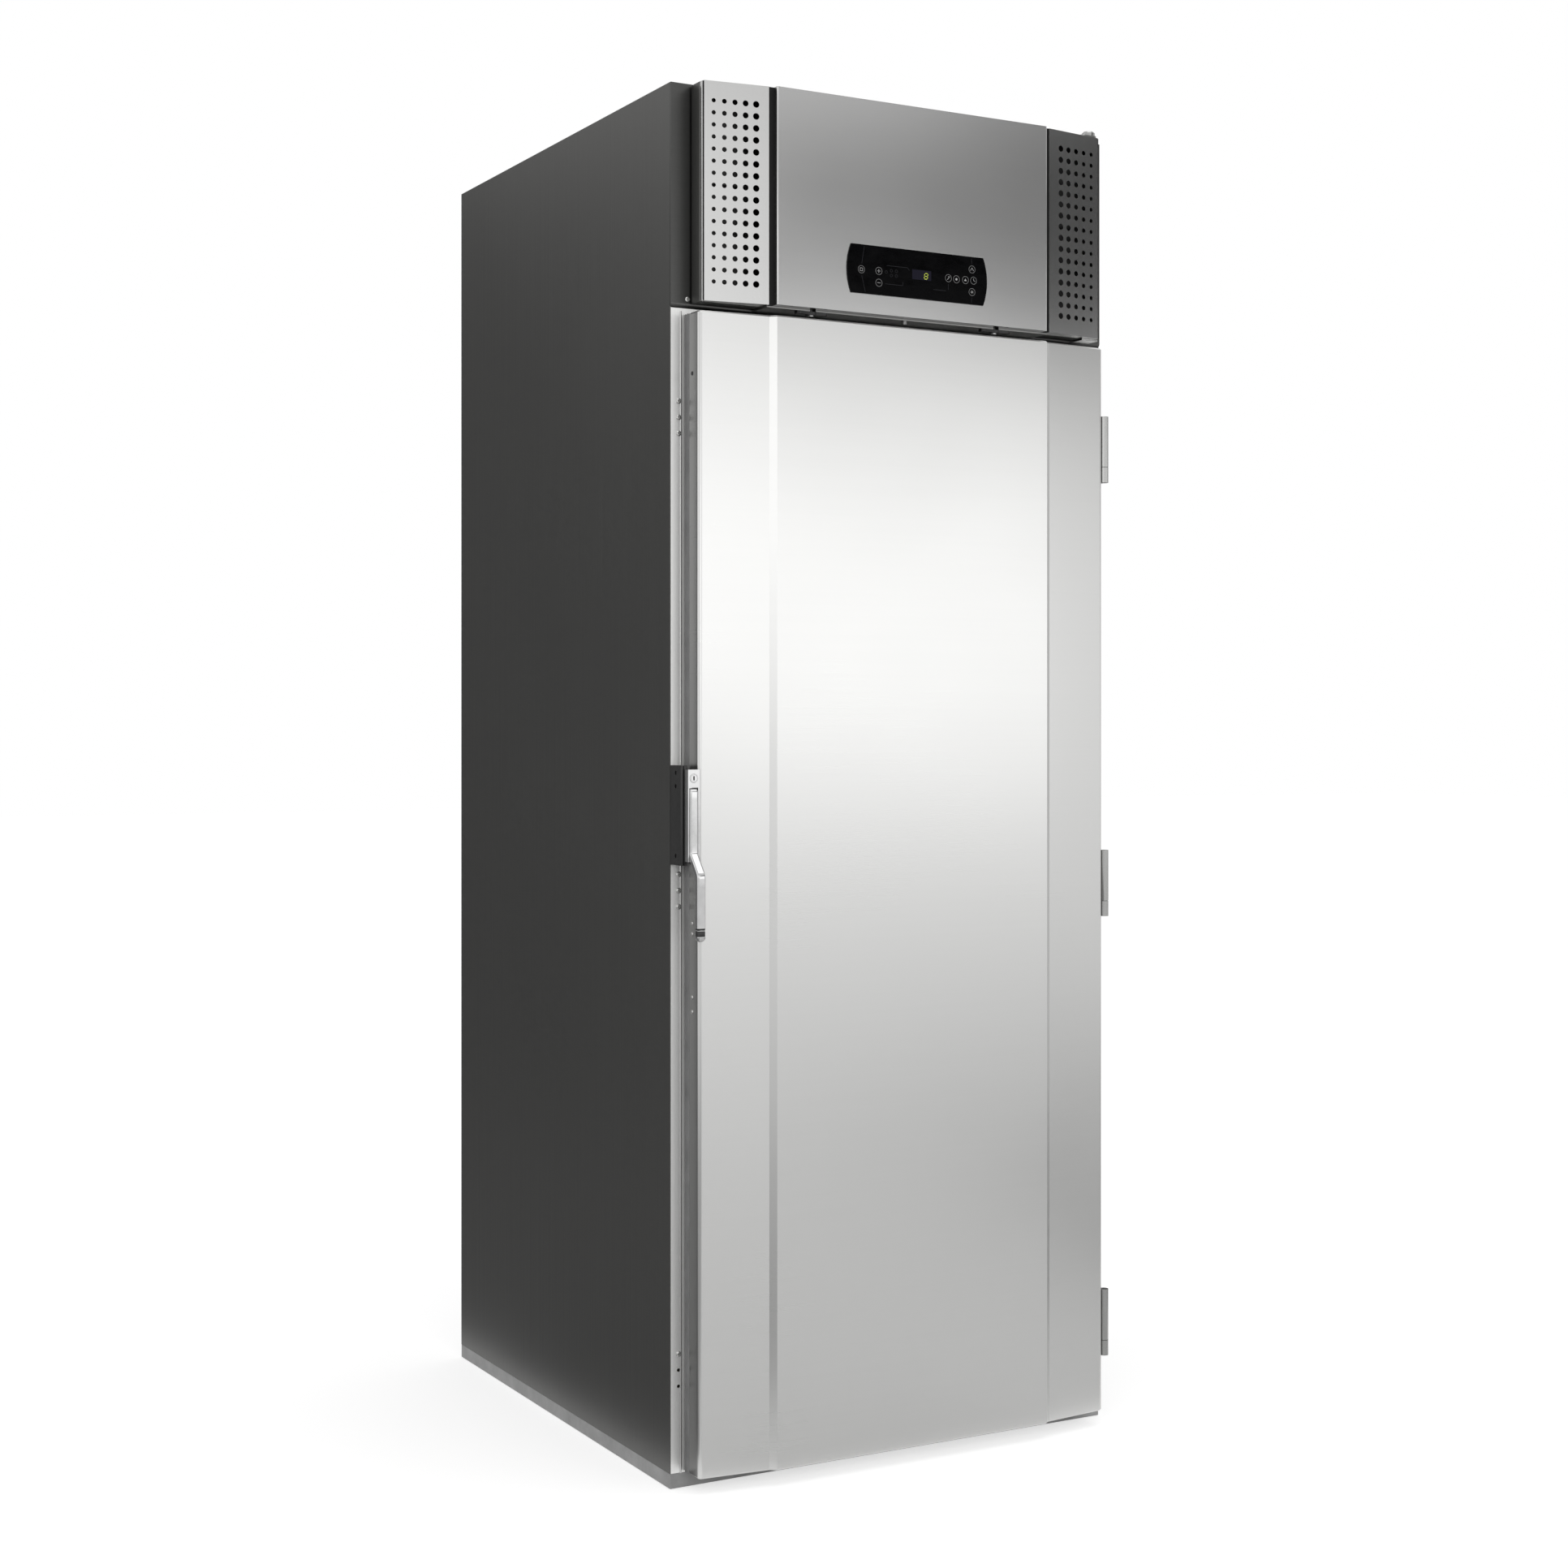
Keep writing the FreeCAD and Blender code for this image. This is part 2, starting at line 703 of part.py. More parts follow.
def pipe_passage():
    """Hole through deck, foam and liner for the suction pipe."""
    base = V(pipe_base.x, pipe_base.y, ceiling_height - past)
    return faceted_rod(base, UP, pipe_radius + pipe_hole_gap, ceiling_thickness + 2 * past, pipe_sides)


def trolley_bumpers():
    """Bevelled rails that keep the trolley off the liner."""
    rails = []
    for wall_x, inward in ((inner_left, 1), (inner_right, -1)):
        nose_x = wall_x + inward * bumper_depth
        for z in bumper_levels:
            outline = [(wall_x, z), (nose_x, z + bumper_bevel), (nose_x, z + bumper_height - bumper_bevel)]
            outline.append((wall_x, z + bumper_height))
            rails.append(prism(outline, "xz", behind(bumper_front), evaporator_y0 - bumper_rear_gap))
    return Part.makeCompound(rails)


def latch_keeper():
    """Moulded keeper on the left upright, with a groove in its nose and a mouth for the bolt."""
    x0 = from_left(keeper_left)
    x1 = from_left(keeper_right)
    plan = [(x0, front_y), (x0, ahead(keeper_depth), 2.5), (x1, ahead(keeper_depth), 2.5), (x1, front_y)]
    keeper = prism(plan, "xy", keeper_bottom, keeper_top)
    z0 = keeper_bottom - past
    z1 = keeper_top + past
    groove = block(x0 + 3.5, x0 + 5.0, ahead(keeper_depth + past), ahead(keeper_depth - 3), z0, z1)
    half_mouth = bolt_height / 2 + 3
    mouth_y0 = ahead(bolt_middle_depth + bolt_depth / 2 + 1)
    mouth_z0 = bolt_middle_height - half_mouth
    mouth = block(x1 - 4.0, x1 + past, mouth_y0, ahead(4.0), mouth_z0, mouth_z0 + 2 * half_mouth)
    cuts = [groove, mouth]
    for z in (keeper_top - 12.0, keeper_top - 34.0, keeper_bottom + 15.0):
        seat = V(x0 - past, ahead(keeper_depth / 2), z)
        cuts.append(faceted_rod(seat, RIGHTWARD, 3.6, 2.0 + past, 8))
    return keeper.cut(cuts)


def cabinet_screws():
    """Screws that show: spare hinge places, door hinges, roof, back, upper panel and bracket."""
    heads = [screw_head(V(spare_screw_x, front_y, z), FORWARD) for z in spare_screw_levels]
    heads += [screw_head(V(leaf_screw_x, ahead(hinge_leaf), z), FORWARD) for z in spare_levels]
    heads += [screw_head(V(x, y, cabinet_height), UP) for x, y in roof_screw_places]
    heads += [screw_head(V(x, upper_panel_y, upper_screw_z), FORWARD) for x in upper_screw_xs]
    for z in rear_screw_levels:
        for x in (from_left(edge_screw_inset), from_right(edge_screw_inset)):
            heads.append(screw_head(V(x, rear_y, z), BACKWARD))
    for x in (bracket_x0 + 8.0, bracket_x1 - 8.0):
        heads.append(screw_head(V(x, behind(bracket_screw_back), cabinet_height + bracket_sheet), UP))
    return Part.makeCompound(heads)


def frame_hinge_leaves():
    """The three lower hinge halves on the right upright, each with its fixed pin."""
    leaves = []
    for level in hinge_levels:
        z0 = level - hinge_height / 2
        base = V(hinge_x, hinge_y, z0)
        plate = block(hinge_x - 4.0, hinge_x + 19.0, ahead(hinge_leaf), front_y, z0, z0 + hinge_height)
        arm = block(hinge_x - 4.0, hinge_x + 4.0, hinge_y, ahead(hinge_leaf), z0, z0 + hinge_lower_share)
        knuckle = faceted_rod(base, UP, hinge_radius, hinge_lower_share, knuckle_sides)
        pin = rod(base, UP, hinge_pin_radius, hinge_lower_share + hinge_pin_reach)
        leaves.append(plate.fuse([arm, knuckle, pin]))
    return Part.makeCompound(leaves)


def cover_hinge_brackets():
    """Two flat brackets whose pins carry the machine cover, above and below its right end."""
    top_plane = cabinet_height + bracket_sheet
    plan = [(bracket_x0, bracket_front_y, 6.0), (bracket_x1, bracket_front_y, 6.0)]
    plan += [(bracket_x1, behind(bracket_reach)), (bracket_x0, behind(bracket_reach))]
    plate = prism(plan, "xy", cabinet_height, top_plane)
    boss = drum(V(cover_pivot_x, cover_pivot_y, top_plane), UP, 12.0, 9.0, 3.0)
    pin_reach = cabinet_height - cover_top + bracket_pin_reach
    pin = peg(V(cover_pivot_x, cover_pivot_y, cabinet_height), DOWN, cover_pivot_radius, pin_reach)
    upper = plate.fuse([boss, pin])
    bottom_z = ledge_top - bracket_sheet
    shelf = block(bracket_x0, bracket_x1, bracket_front_y, upper_panel_y, bottom_z, ledge_top)
    flange = block(bracket_x0, bracket_x1, flange_y, upper_panel_y, ledge_top, ledge_top + flange_height)
    pin = peg(V(cover_pivot_x, cover_pivot_y, bottom_z), UP, cover_pivot_radius,
            bracket_sheet + bracket_pin_reach)
    return Part.makeCompound([upper, shelf.fuse([flange, pin])])


def cover_ledge():
    """Angle under the machine cover, with open notches for the knobs' studs and a stop between them."""
    x0 = facet_left + ledge_end_inset
    x1 = facet_right - ledge_end_inset
    shelf = block(x0, x1, ahead(ledge_depth), upper_panel_y, ledge_bottom, ledge_top)
    flange = block(x0, x1, flange_y, upper_panel_y, ledge_top, ledge_top + flange_height)
    stop = peg(V(knob_middle_x, knob_y, ledge_bottom), DOWN, 5.0, 6.0)
    cuts = []
    for x in knob_xs:
        notch_y1 = knob_y + notch_half_width
        notch_x0 = x - notch_half_width
        notch_x1 = x + notch_half_width
        cuts.append(block(notch_x0, notch_x1, ahead(ledge_depth + past), notch_y1,
                ledge_bottom - past, ledge_top + past))
    return shelf.fuse([flange, stop]).cut(cuts)


# ---------------------------------------------------------------- machine room
def compressor():
    """Sealed compressor shell on its foot plate."""
    x = compressor_x
    y = compressor_y
    half = compressor_foot_half
    foot = block(x - half, x + half, y - half, y + half, deck_top, compressor_foot_top)
    return foot.fuse(drum(V(x, y, compressor_foot_top), UP, compressor_radius, compressor_height, 32.0))


def condenser_coil():
    """Finned block between two end plates."""
    fins = block(condenser_x0 + 2, condenser_x1 - 2, condenser_y + 6, shroud_y0 - 6, deck_top,
            deck_top + condenser_height - 4)
    plates = [block(x, x + 2, condenser_y, shroud_y0, deck_top, deck_top + condenser_height)
              for x in (condenser_x0, condenser_x1 - 2)]
    return fins.fuse(plates)


def condenser_fan_shroud():
    """Duct behind the coil with the fan's round mouth and the motor's cross bar."""
    z1 = deck_top + condenser_height
    duct = block(condenser_x0, condenser_x1, shroud_y0, shroud_y1, deck_top, z1)
    hollow = block(condenser_x0 + skin, condenser_x1 - skin, shroud_y0 - past, shroud_y1 - skin,
            deck_top + skin, z1 - skin)
    centre = V(condenser_fan_x, shroud_y1 - skin - past, condenser_fan_z)
    mouth = faceted_rod(centre, BACKWARD, condenser_fan_radius + fan_ring_gap, skin + 2 * past, mouth_sides)
    bar_y = motor_front_y(condenser_fan_y, condenser_fan_depth) + motor_length
    mount = motor_bar(condenser_fan_x, condenser_fan_z, shroud_y1, bar_y,
            condenser_fan_radius + fan_ring_gap + 4)
    return duct.cut([hollow, mouth]).fuse(mount)


def motor_front_y(rotor_y, depth):
    """Front face of the motor behind a rotor."""
    return rotor_y + depth + fan_motor_gap


def motor_bar(x, z, panel_y, bar_y, reach):
    """Folded strap that holds a motor behind its fan's mouth."""
    sheet = fan_bar_sheet
    line = [(panel_y, z - reach), (bar_y + sheet, z - reach), (bar_y + sheet, z + reach), (panel_y,
            z + reach)]
    return prism(bent_sheet(line, sheet), "yz", x - fan_bar_width / 2, x + fan_bar_width / 2)


def fan_motor(x, z, front):
    """A fan motor, bored for the rotor's shaft."""
    body = drum(V(x, front, z), BACKWARD, motor_radius, motor_length)
    bore = peg_hole(V(x, front - past, z), BACKWARD, fan_shaft_radius, fan_shaft_reach + 2 + past)
    return body.cut(bore)


def fan_rotor(x, z, front, depth, radius, hub_radius):
    """Hub, pitched blades and shaft of a fan whose hub starts at front."""
    hub = faceted_rod(V(x, front, z), BACKWARD, hub_radius, depth, 2 * fan_blade_count)
    shaft = peg(V(x, front + depth - past, z), BACKWARD, fan_shaft_radius,
            past + fan_motor_gap + fan_shaft_reach)
    root = hub_radius * 0.8
    chord = (depth - 4) / math.sin(fan_blade_pitch)
    outline = [V(-chord * 0.36, 0, root), V(chord * 0.36, 0, root), V(chord * 0.5, 0, radius * 0.75)]
    outline += [V(chord * 0.44, 0, radius * 0.97), V(-chord * 0.3, 0, radius * 0.9), V(-chord * 0.5,
            0, radius * 0.6)]
    plate = Part.Face(Part.makePolygon(outline + [outline[0]])).extrude(V(0, fan_blade_sheet, 0))
    blades = []
    for index in range(fan_blade_count):
        blade = plate.copy()
        blade.rotate(V(0, 0, 0), UP, math.degrees(fan_blade_pitch))
        blade.rotate(V(0, 0, 0), BACKWARD, 360.0 * index / fan_blade_count)
        blade.translate(V(x, front + depth / 2, z))
        blades.append(blade)
    return hub.fuse(blades + [shaft])


def condenser_fan_rotor():
    """Fan that draws air through the condenser."""
    return fan_rotor(condenser_fan_x, condenser_fan_z, condenser_fan_y, condenser_fan_depth,
                     condenser_fan_radius, condenser_hub_radius)


def condenser_fan_motor():
    """Motor on the shroud's strap."""
    return fan_motor(condenser_fan_x, condenser_fan_z, motor_front_y(condenser_fan_y, condenser_fan_depth))


def liquid_receiver():
    """Small pressure vessel lying on two saddles."""
    x = from_left(receiver_x)
    y = electrical_box_y0 - receiver_box_gap - receiver_radius
    z = deck_top + receiver_radius + 14
    vessel = drum(V(x - receiver_length / 2, y, z), RIGHTWARD, receiver_radius, receiver_length, 16.0)
    saddles = []
    for middle_x in (x - saddle_half_spacing, x + saddle_half_spacing):
        y0 = y - saddle_half_depth
        saddles.append(block(middle_x - 8, middle_x + 8, y0, y + saddle_half_depth, deck_top, z - 10))
    return vessel.fuse(saddles)


def electrical_box():
    """Wiring box at the back left of the deck."""
    width, depth, height = electrical_box_size
    x = from_left(electrical_box_x)
    box = block(x, x + width, electrical_box_y0, electrical_box_y0 + depth, deck_top, deck_top + height)
    return bevel(box, 4.0, lambda edge: is_along(edge, UP))


def pipe(points):
    """A pipe with mitred turns through points."""
    corners = [V(*point) for point in points]
    section = regular_outline(pipe_radius, pipe_sides)
    section.Placement = FreeCAD.Placement(corners[0], FreeCAD.Rotation(UP, corners[1] - corners[0]))
    return Part.makePolygon(corners).makePipeShell([section], True, False, 1)


def refrigerant_pipes():
    """Discharge pipe to the condenser and suction pipe up from the evaporator."""
    shell_x = compressor_x
    shell_y = compressor_y
    shell_top = compressor_foot_top + compressor_height
    high = shell_top + 40
    coil_y = condenser_y + condenser_depth / 2
    coil_z = deck_top + condenser_height - 60
    discharge = pipe([(shell_x, shell_y, shell_top), (shell_x, shell_y, high), (shell_x, coil_y, high),
                      (shell_x, coil_y, coil_z), (condenser_x1, coil_y, coil_z)])
    suction_z = deck_top + suction_height
    suction = pipe([tuple(pipe_base), (pipe_base.x, pipe_base.y, suction_z),
            (shell_x, pipe_base.y, suction_z),
                    (shell_x, shell_y, suction_z)])
    return Part.makeCompound([discharge, suction.cut(compressor())])


# ---------------------------------------------------------------- evaporator
fan_rotor_y = fan_panel_back_y + fan_set_back


def evaporator_coil():
    """Finned block between the side plates."""
    return block(side_plate_left, side_plate_right, coil_y0, coil_y1, coil_bottom, coil_top)


def evaporator_side_plates():
    """Two uprights between which the coil hangs; the left one carries the fan panel's pins."""
    y0 = evaporator_y0
    left_face = side_plate_left - side_plate_sheet
    right_face = side_plate_right + side_plate_sheet
    right = block(side_plate_right, right_face, y0, inner_rear, evaporator_bottom, evaporator_top)
    reach = lug_gap + lug_sheet
    left = block(left_face, side_plate_left, y0, inner_rear, evaporator_bottom - reach,
                 evaporator_top + reach)
    lugs = []
    for level, direction in ((evaporator_top + lug_gap, DOWN), (evaporator_bottom - reach, UP)):
        plan = [(left_face, y0 + lug_length), (fan_pivot_x - 8, y0), (fan_pivot_x - 8, fan_pivot_y - 8)]
        plan += [(fan_pivot_x + 8, fan_pivot_y - 8), (fan_pivot_x + 8, y0), (left_face, y0)]
        lugs.append(prism(plan, "xy", level, level + lug_sheet))
        pin_z = level if direction == DOWN else level + lug_sheet
        lugs.append(peg(V(fan_pivot_x, fan_pivot_y, pin_z), direction, fan_pin_radius,
                lug_gap + fan_pin_reach))
    return Part.makeCompound([left.fuse(lugs), right])


def drain_pan():
    """Open tray under the coil."""
    y0 = coil_y0 - drain_pan_lead
    z0 = coil_bottom - drain_pan_height
    pan = block(side_plate_left, side_plate_right, y0, inner_rear, z0, coil_bottom)
    hollow = block(side_plate_left + skin, side_plate_right - skin, y0 + skin, inner_rear - skin,
            z0 + skin, coil_bottom + past)
    return pan.cut(hollow)


def evaporator_fan_panel():
    """Hinged sheet with two fan mouths and a motor strap behind each."""
    back = fan_panel_back_y
    front = fan_panel_front_y
    edge_y = front - fan_panel_flange
    sheet = side_plate_sheet
    outer = block(fan_panel_left, fan_panel_right, edge_y, back, evaporator_bottom, evaporator_top)
    hollow = block(fan_panel_left + sheet, fan_panel_right - sheet, edge_y - past, front,
                   evaporator_bottom + sheet, evaporator_top - sheet)
    cuts = [hollow]
    mounts = []
    mouth = fan_radius + fan_ring_gap
    for z in fan_levels:
        cuts.append(faceted_rod(V(0, front - past, z), BACKWARD, mouth, sheet + 2 * past, mouth_sides))
        mounts.append(motor_bar(0, z, back, motor_front_y(fan_rotor_y, fan_depth) + motor_length, mouth + 10))
    for z in (evaporator_bottom, evaporator_top):
        cuts.append(peg_hole(V(fan_pivot_x, fan_pivot_y, z - 2 * sheet), UP, fan_pin_radius, 4 * sheet))
    return outer.cut(cuts).fuse(mounts)


def evaporator_fan_motors():
    """The two motors on the fan panel's straps."""
    front = motor_front_y(fan_rotor_y, fan_depth)
    return Part.makeCompound([fan_motor(0, z, front) for z in fan_levels])


def evaporator_fan_guards():
    """Flat guards in front of the fans: a ring and two crossed bars each."""
    guards = []
    y1 = fan_panel_front_y
    y0 = y1 - guard_thickness
    for z in fan_levels:
        reach = fan_radius + fan_ring_gap + guard_bar
        pieces = []
        for angle in (45, 135):
            bar = block(-reach, reach, y0, y1, z - guard_bar / 2, z + guard_bar / 2)
            bar.rotate(V(0, y0, z), BACKWARD, angle)
            pieces.append(bar)
        radius = fan_radius * 0.55
        outer = faceted_rod(V(0, y0, z), BACKWARD, radius + guard_bar, guard_thickness, guard_ring_sides)
        inner = faceted_rod(V(0, y0 - past, z), BACKWARD, radius, guard_thickness + 2 * past,
                guard_ring_sides)
        pieces.append(outer.cut(inner))
        guards.append(pieces[0].fuse(pieces[1:]))
    return Part.makeCompound(guards)


def evaporator_fan(level):
    """One rotor of the fan panel."""
    return fan_rotor(0, level, fan_rotor_y, fan_depth, fan_radius, fan_hub_radius)


# ---------------------------------------------------------------- door
def door_plan(inset, back_y):
    """Plan of the door, drawn in by inset: side facets, slanting steps and a raised middle panel."""
    corner = door_edge_radius - inset
    edge_y = ahead(door_edge_depth - inset)
    facet_y = ahead(door_facet_depth - inset)
    middle_y = ahead(front_depth - inset)
    return [
        (door_left + inset, back_y), (door_left + inset, edge_y, corner),
        (facet_left, facet_y), (panel_left, middle_y), (panel_right, middle_y), (facet_right, facet_y),
        (door_right - inset, edge_y, corner), (door_right - inset, back_y),
    ]


def bevel_front_ends(solid, bottom, top, width):
    """Bevels the top and bottom edges of a faceted front between its rounded corners."""
    front_limit = ahead(door_edge_depth - 0.5)

    def at_front_end(edge):
        points = [vertex.Point for vertex in edge.Vertexes]
        level = all(abs(p.z - bottom) < 1e-6 for p in points) or all(abs(p.z - top) < 1e-6 for p in points)
        return level and all(p.y < front_limit for p in points)

    return bevel(solid, width, at_front_end)


def door_skin():
    """Pressed outer sheet of the door: front and four sides, open at the back."""
    outer = prism(door_plan(0.0, door_back_y), "xy", door_bottom, door_top)
    outer = bevel_front_ends(outer, door_bottom, door_top, door_end_bevel)
    return outer.cut(door_core(door_back_y + past))


def door_core(back_y):
    """The space inside the door's skin."""
    sheet = door_sheet
    core = prism(door_plan(sheet, back_y), "xy", door_bottom + sheet, door_top - sheet)
    return bevel_front_ends(core, door_bottom + sheet, door_top - sheet, door_end_bevel)


def plug(inset):
    """Raised field of the inner sheet as a tapered block, drawn in by inset."""
    sections = []
    face_y = door_back_y + door_plug_height - inset
    for y, taper in ((door_back_y - liner_sheet, 0.0), (face_y, door_plug_taper)):
        edge = door_plug_inset + taper + inset
        x0 = door_left + edge
        x1 = door_right - edge
        z0 = door_bottom + edge
        z1 = door_top - edge
        corners = [V(x0, y, z0), V(x1, y, z0), V(x1, y, z1), V(x0, y, z1)]
        sections.append(Part.makePolygon(corners + [corners[0]]))
    return Part.makeLoft(sections, True, True)


def door_inner_panel():
    """Sheet that closes the door's back, pressed out towards the chamber inside the gasket."""
    sheet = block(door_left + door_sheet, door_right - door_sheet, door_back_y - liner_sheet, door_back_y,
                  door_bottom + door_sheet, door_top - door_sheet)
    return sheet.fuse(plug(0.0)).cut(plug(liner_sheet))


def door_insulation():
    """Foam that fills the door between its two sheets."""
    return door_core(door_back_y - liner_sheet).fuse(plug(liner_sheet))


def door_gasket():
    """Magnetic seal in four mitred strips, flush with the door's edge."""
    w = gasket_width
    outer = [(door_left, door_bottom), (door_right, door_bottom), (door_right, door_top), (door_left,
            door_top)]
    inner = [(door_left + w, door_bottom + w), (door_right - w, door_bottom + w)]
    inner += [(door_right - w, door_top - w), (door_left + w, door_top - w)]
    strips = []
    for index in range(4):
        following = (index + 1) % 4
        corners = [outer[index], outer[following], inner[following], inner[index]]
        strips.append(prism(corners, "xz", door_back_y, ahead(gasket_gap)))
    return Part.makeCompound(strips)


def door_hinge_leaves():
    """The three upper hinge halves on the door's right side, bored for the pins."""
    leaves = []
    for level in hinge_levels:
        z0 = level - hinge_height / 2 + hinge_lower_share + hinge_knuckle_gap
        z1 = level + hinge_height / 2
        base = V(hinge_x, hinge_y, z0)
        plate = block(door_right, door_right + hinge_leaf, hinge_y, door_back_y - 3, z0, z1)
        web = block(door_right, hinge_x, hinge_y - hinge_leaf / 2, hinge_y + hinge_leaf / 2, z0, z1)
        knuckle = faceted_rod(base, UP, hinge_radius, z1 - z0, knuckle_sides)
        depth = hinge_pin_reach - hinge_knuckle_gap + 2.0
        bore = rod(base - UP * past, UP, hinge_pin_radius + running_clearance, depth + past)
        leaves.append(plate.fuse([knuckle, web]).cut(bore))
    return Part.makeCompound(leaves)


# ---------------------------------------------------------------- latch
lever_bar_back = ahead(lever_front_depth - lever_thickness)
lever_bar_front = ahead(lever_front_depth)
lever_top = lever_pivot_height + lever_thickness / 2
latch_front_y = ahead(latch_face_depth + latch_plate_thickness)


def latch_housing():
    """Cast housing on the door's left side: face plate, lever channel, lock bore and bolt pocket."""
    rear_x0 = from_left(latch_rear_inset)
    plan = [(latch_x1, ahead(latch_rear_depth)), (rear_x0, ahead(latch_rear_depth)), (rear_x0,
            ahead(latch_nose_depth))]
    plan += [(latch_x0, ahead(latch_nose_depth)), (latch_x0, ahead(latch_face_depth)), (latch_x1,
            ahead(latch_face_depth))]
    body = prism(plan, "xy", latch_bottom, latch_top)
    plate_x1 = from_left(latch_plate_right)
    plate = block(latch_x0, plate_x1, latch_front_y, ahead(latch_face_depth), latch_bottom, latch_top)
    channel = block(lever_x0 - latch_gap, lever_x1 + latch_gap, latch_front_y - past,
            ahead(latch_channel_depth),
                    latch_bottom - past, lever_top + 1.5)
    lock_base = V(latch_middle_x, latch_front_y - past, lock_height)
    lock_bore = rod(lock_base, BACKWARD, lock_radius + running_clearance, lock_length + past)
    half_height = bolt_height / 2 + bolt_gap
    half_depth = bolt_depth / 2 + bolt_gap
    pocket = block(rear_x0 - past, latch_x1 + past, ahead(bolt_middle_depth + half_depth),
            ahead(bolt_middle_depth - half_depth),
                   bolt_middle_height - half_height, bolt_middle_height + half_height)
    pin_base = V(latch_x0 - past, lever_middle_y, lever_pivot_height)
    pin_hole = rod(pin_base, RIGHTWARD, lever_pin_radius, latch_x1 - latch_x0 + 2 * past)
    return body.fuse(plate).cut([channel, lock_bore, pocket, pin_hole])


def lever_pivot_pin():
    """Cross pin that carries the lever between the housing's cheeks."""
    base = V(latch_x0, lever_middle_y, lever_pivot_height)
    return rod(base, RIGHTWARD, lever_pin_radius, latch_x1 - latch_x0)


def latch_bolt():
    """Short tongue in the housing's side, drawn back by the lever; its closing edge is bevelled."""
    x0 = from_left(latch_rear_inset) - bolt_gap
    x1 = x0 + bolt_length
    y0 = ahead(bolt_middle_depth + bolt_depth / 2)
    y1 = ahead(bolt_middle_depth - bolt_depth / 2)
    plan = [(x0, y0), (x0, y1 - 3.0), (x0 + 2.0, y1), (x1, y1), (x1, y0)]
    return prism(plan, "xy", bolt_middle_height - bolt_height / 2, bolt_middle_height + bolt_height / 2)


def latch_lever():
    """Pull lever: a bar in the housing that kinks forward into a rounded grip."""
    top_round = lever_thickness / 2 - 0.1
    grip_back = lever_bar_back - lever_offset
    grip_front = lever_bar_front - lever_offset
    side = [
        (lever_bar_front, lever_top, top_round), (lever_bar_back, lever_top, top_round),
        (lever_bar_back, lever_bend_top + 4, 12.0), (grip_back, lever_bend_bottom, 12.0),
        (grip_back, lever_end, 5.0), (grip_front, lever_end, 6.0),
        (grip_front, lever_bend_bottom + 6, 16.0), (lever_bar_front, lever_bend_top + 10, 16.0),
    ]
    lever = prism(side, "yz", lever_x0, lever_x1)
    pin_base = V(lever_x0 - past, lever_middle_y, lever_pivot_height)
    bore = rod(pin_base, RIGHTWARD, lever_pin_radius + running_clearance, lever_x1 - lever_x0 + 2 * past)
    return lever.cut(bore)


def lock_cylinder():
    """Key barrel with a slot in its face."""
    face_y = latch_front_y - 0.6
    barrel = rod(V(latch_middle_x, face_y, lock_height), BACKWARD, lock_radius, lock_length)
    slot = block(latch_middle_x - 1.1, latch_middle_x + 1.1, face_y - past, face_y + 3,
            lock_height - 4, lock_height + 4)
    return barrel.cut(slot)


# ---------------------------------------------------------------- machine cover
def cover_case():
    """Folded case of the machine cover: back, sides and a rim turned in round its open front."""
    x0 = cover_left
    x1 = cover_right
    z0 = cover_bottom
    z1 = cover_top
    plan = [(x0, cover_rear_y), (x0, cover_rim_y, cover_rim_bend), (x1, cover_rim_y, cover_rim_bend),
            (x1, cover_rear_y)]
    outer = prism(plan, "xy", z0, z1)
    hollow = block(x0 + skin, x1 - skin, cover_rim_y + skin, cover_rear_y - skin, z0 + skin, z1 - skin)
    rim = cover_rim
    window = block(x0 + rim, x1 - rim, cover_rim_y - past, cover_rim_y + skin + past, z0 + rim, z1 - rim)
    cuts = [hollow, window]
    for x in ((facet_left + grille_left_outer) / 2, (facet_right + grille_right_outer) / 2):
        z = z0 + cover_vent_rise
        cuts += slots(x, cover_vent_length, z, cover_vent_rows, cover_rear_y - skin - past,
                cover_rear_y + past)
    for z in (z0, z1):
        cuts.append(peg_hole(V(cover_pivot_x, cover_pivot_y, z - 2 * skin), UP, cover_pivot_radius, 4 * skin))
    return outer.cut(cuts)


def cover_centre_panel():
    """Raised middle panel of the cover: a pan with deep returns, seated on the case's rim."""
    plan = [(panel_left, cover_rim_y), (panel_left, ahead(front_depth), 2.0)]
    plan += [(panel_right, ahead(front_depth), 2.0), (panel_right, cover_rim_y)]
    outer = prism(plan, "xy", cover_bottom, cover_top)
    hollow = block(panel_left + skin, panel_right - skin, ahead(front_depth - skin), cover_rim_y + past,
                   cover_bottom + skin, cover_top - skin)
    cuts = [hollow]
    for x in knob_xs:
        cuts.append(peg_hole(V(x, knob_y, cover_bottom - past), UP, knob_stud_radius, skin + 2 * past))
    return outer.cut(cuts)


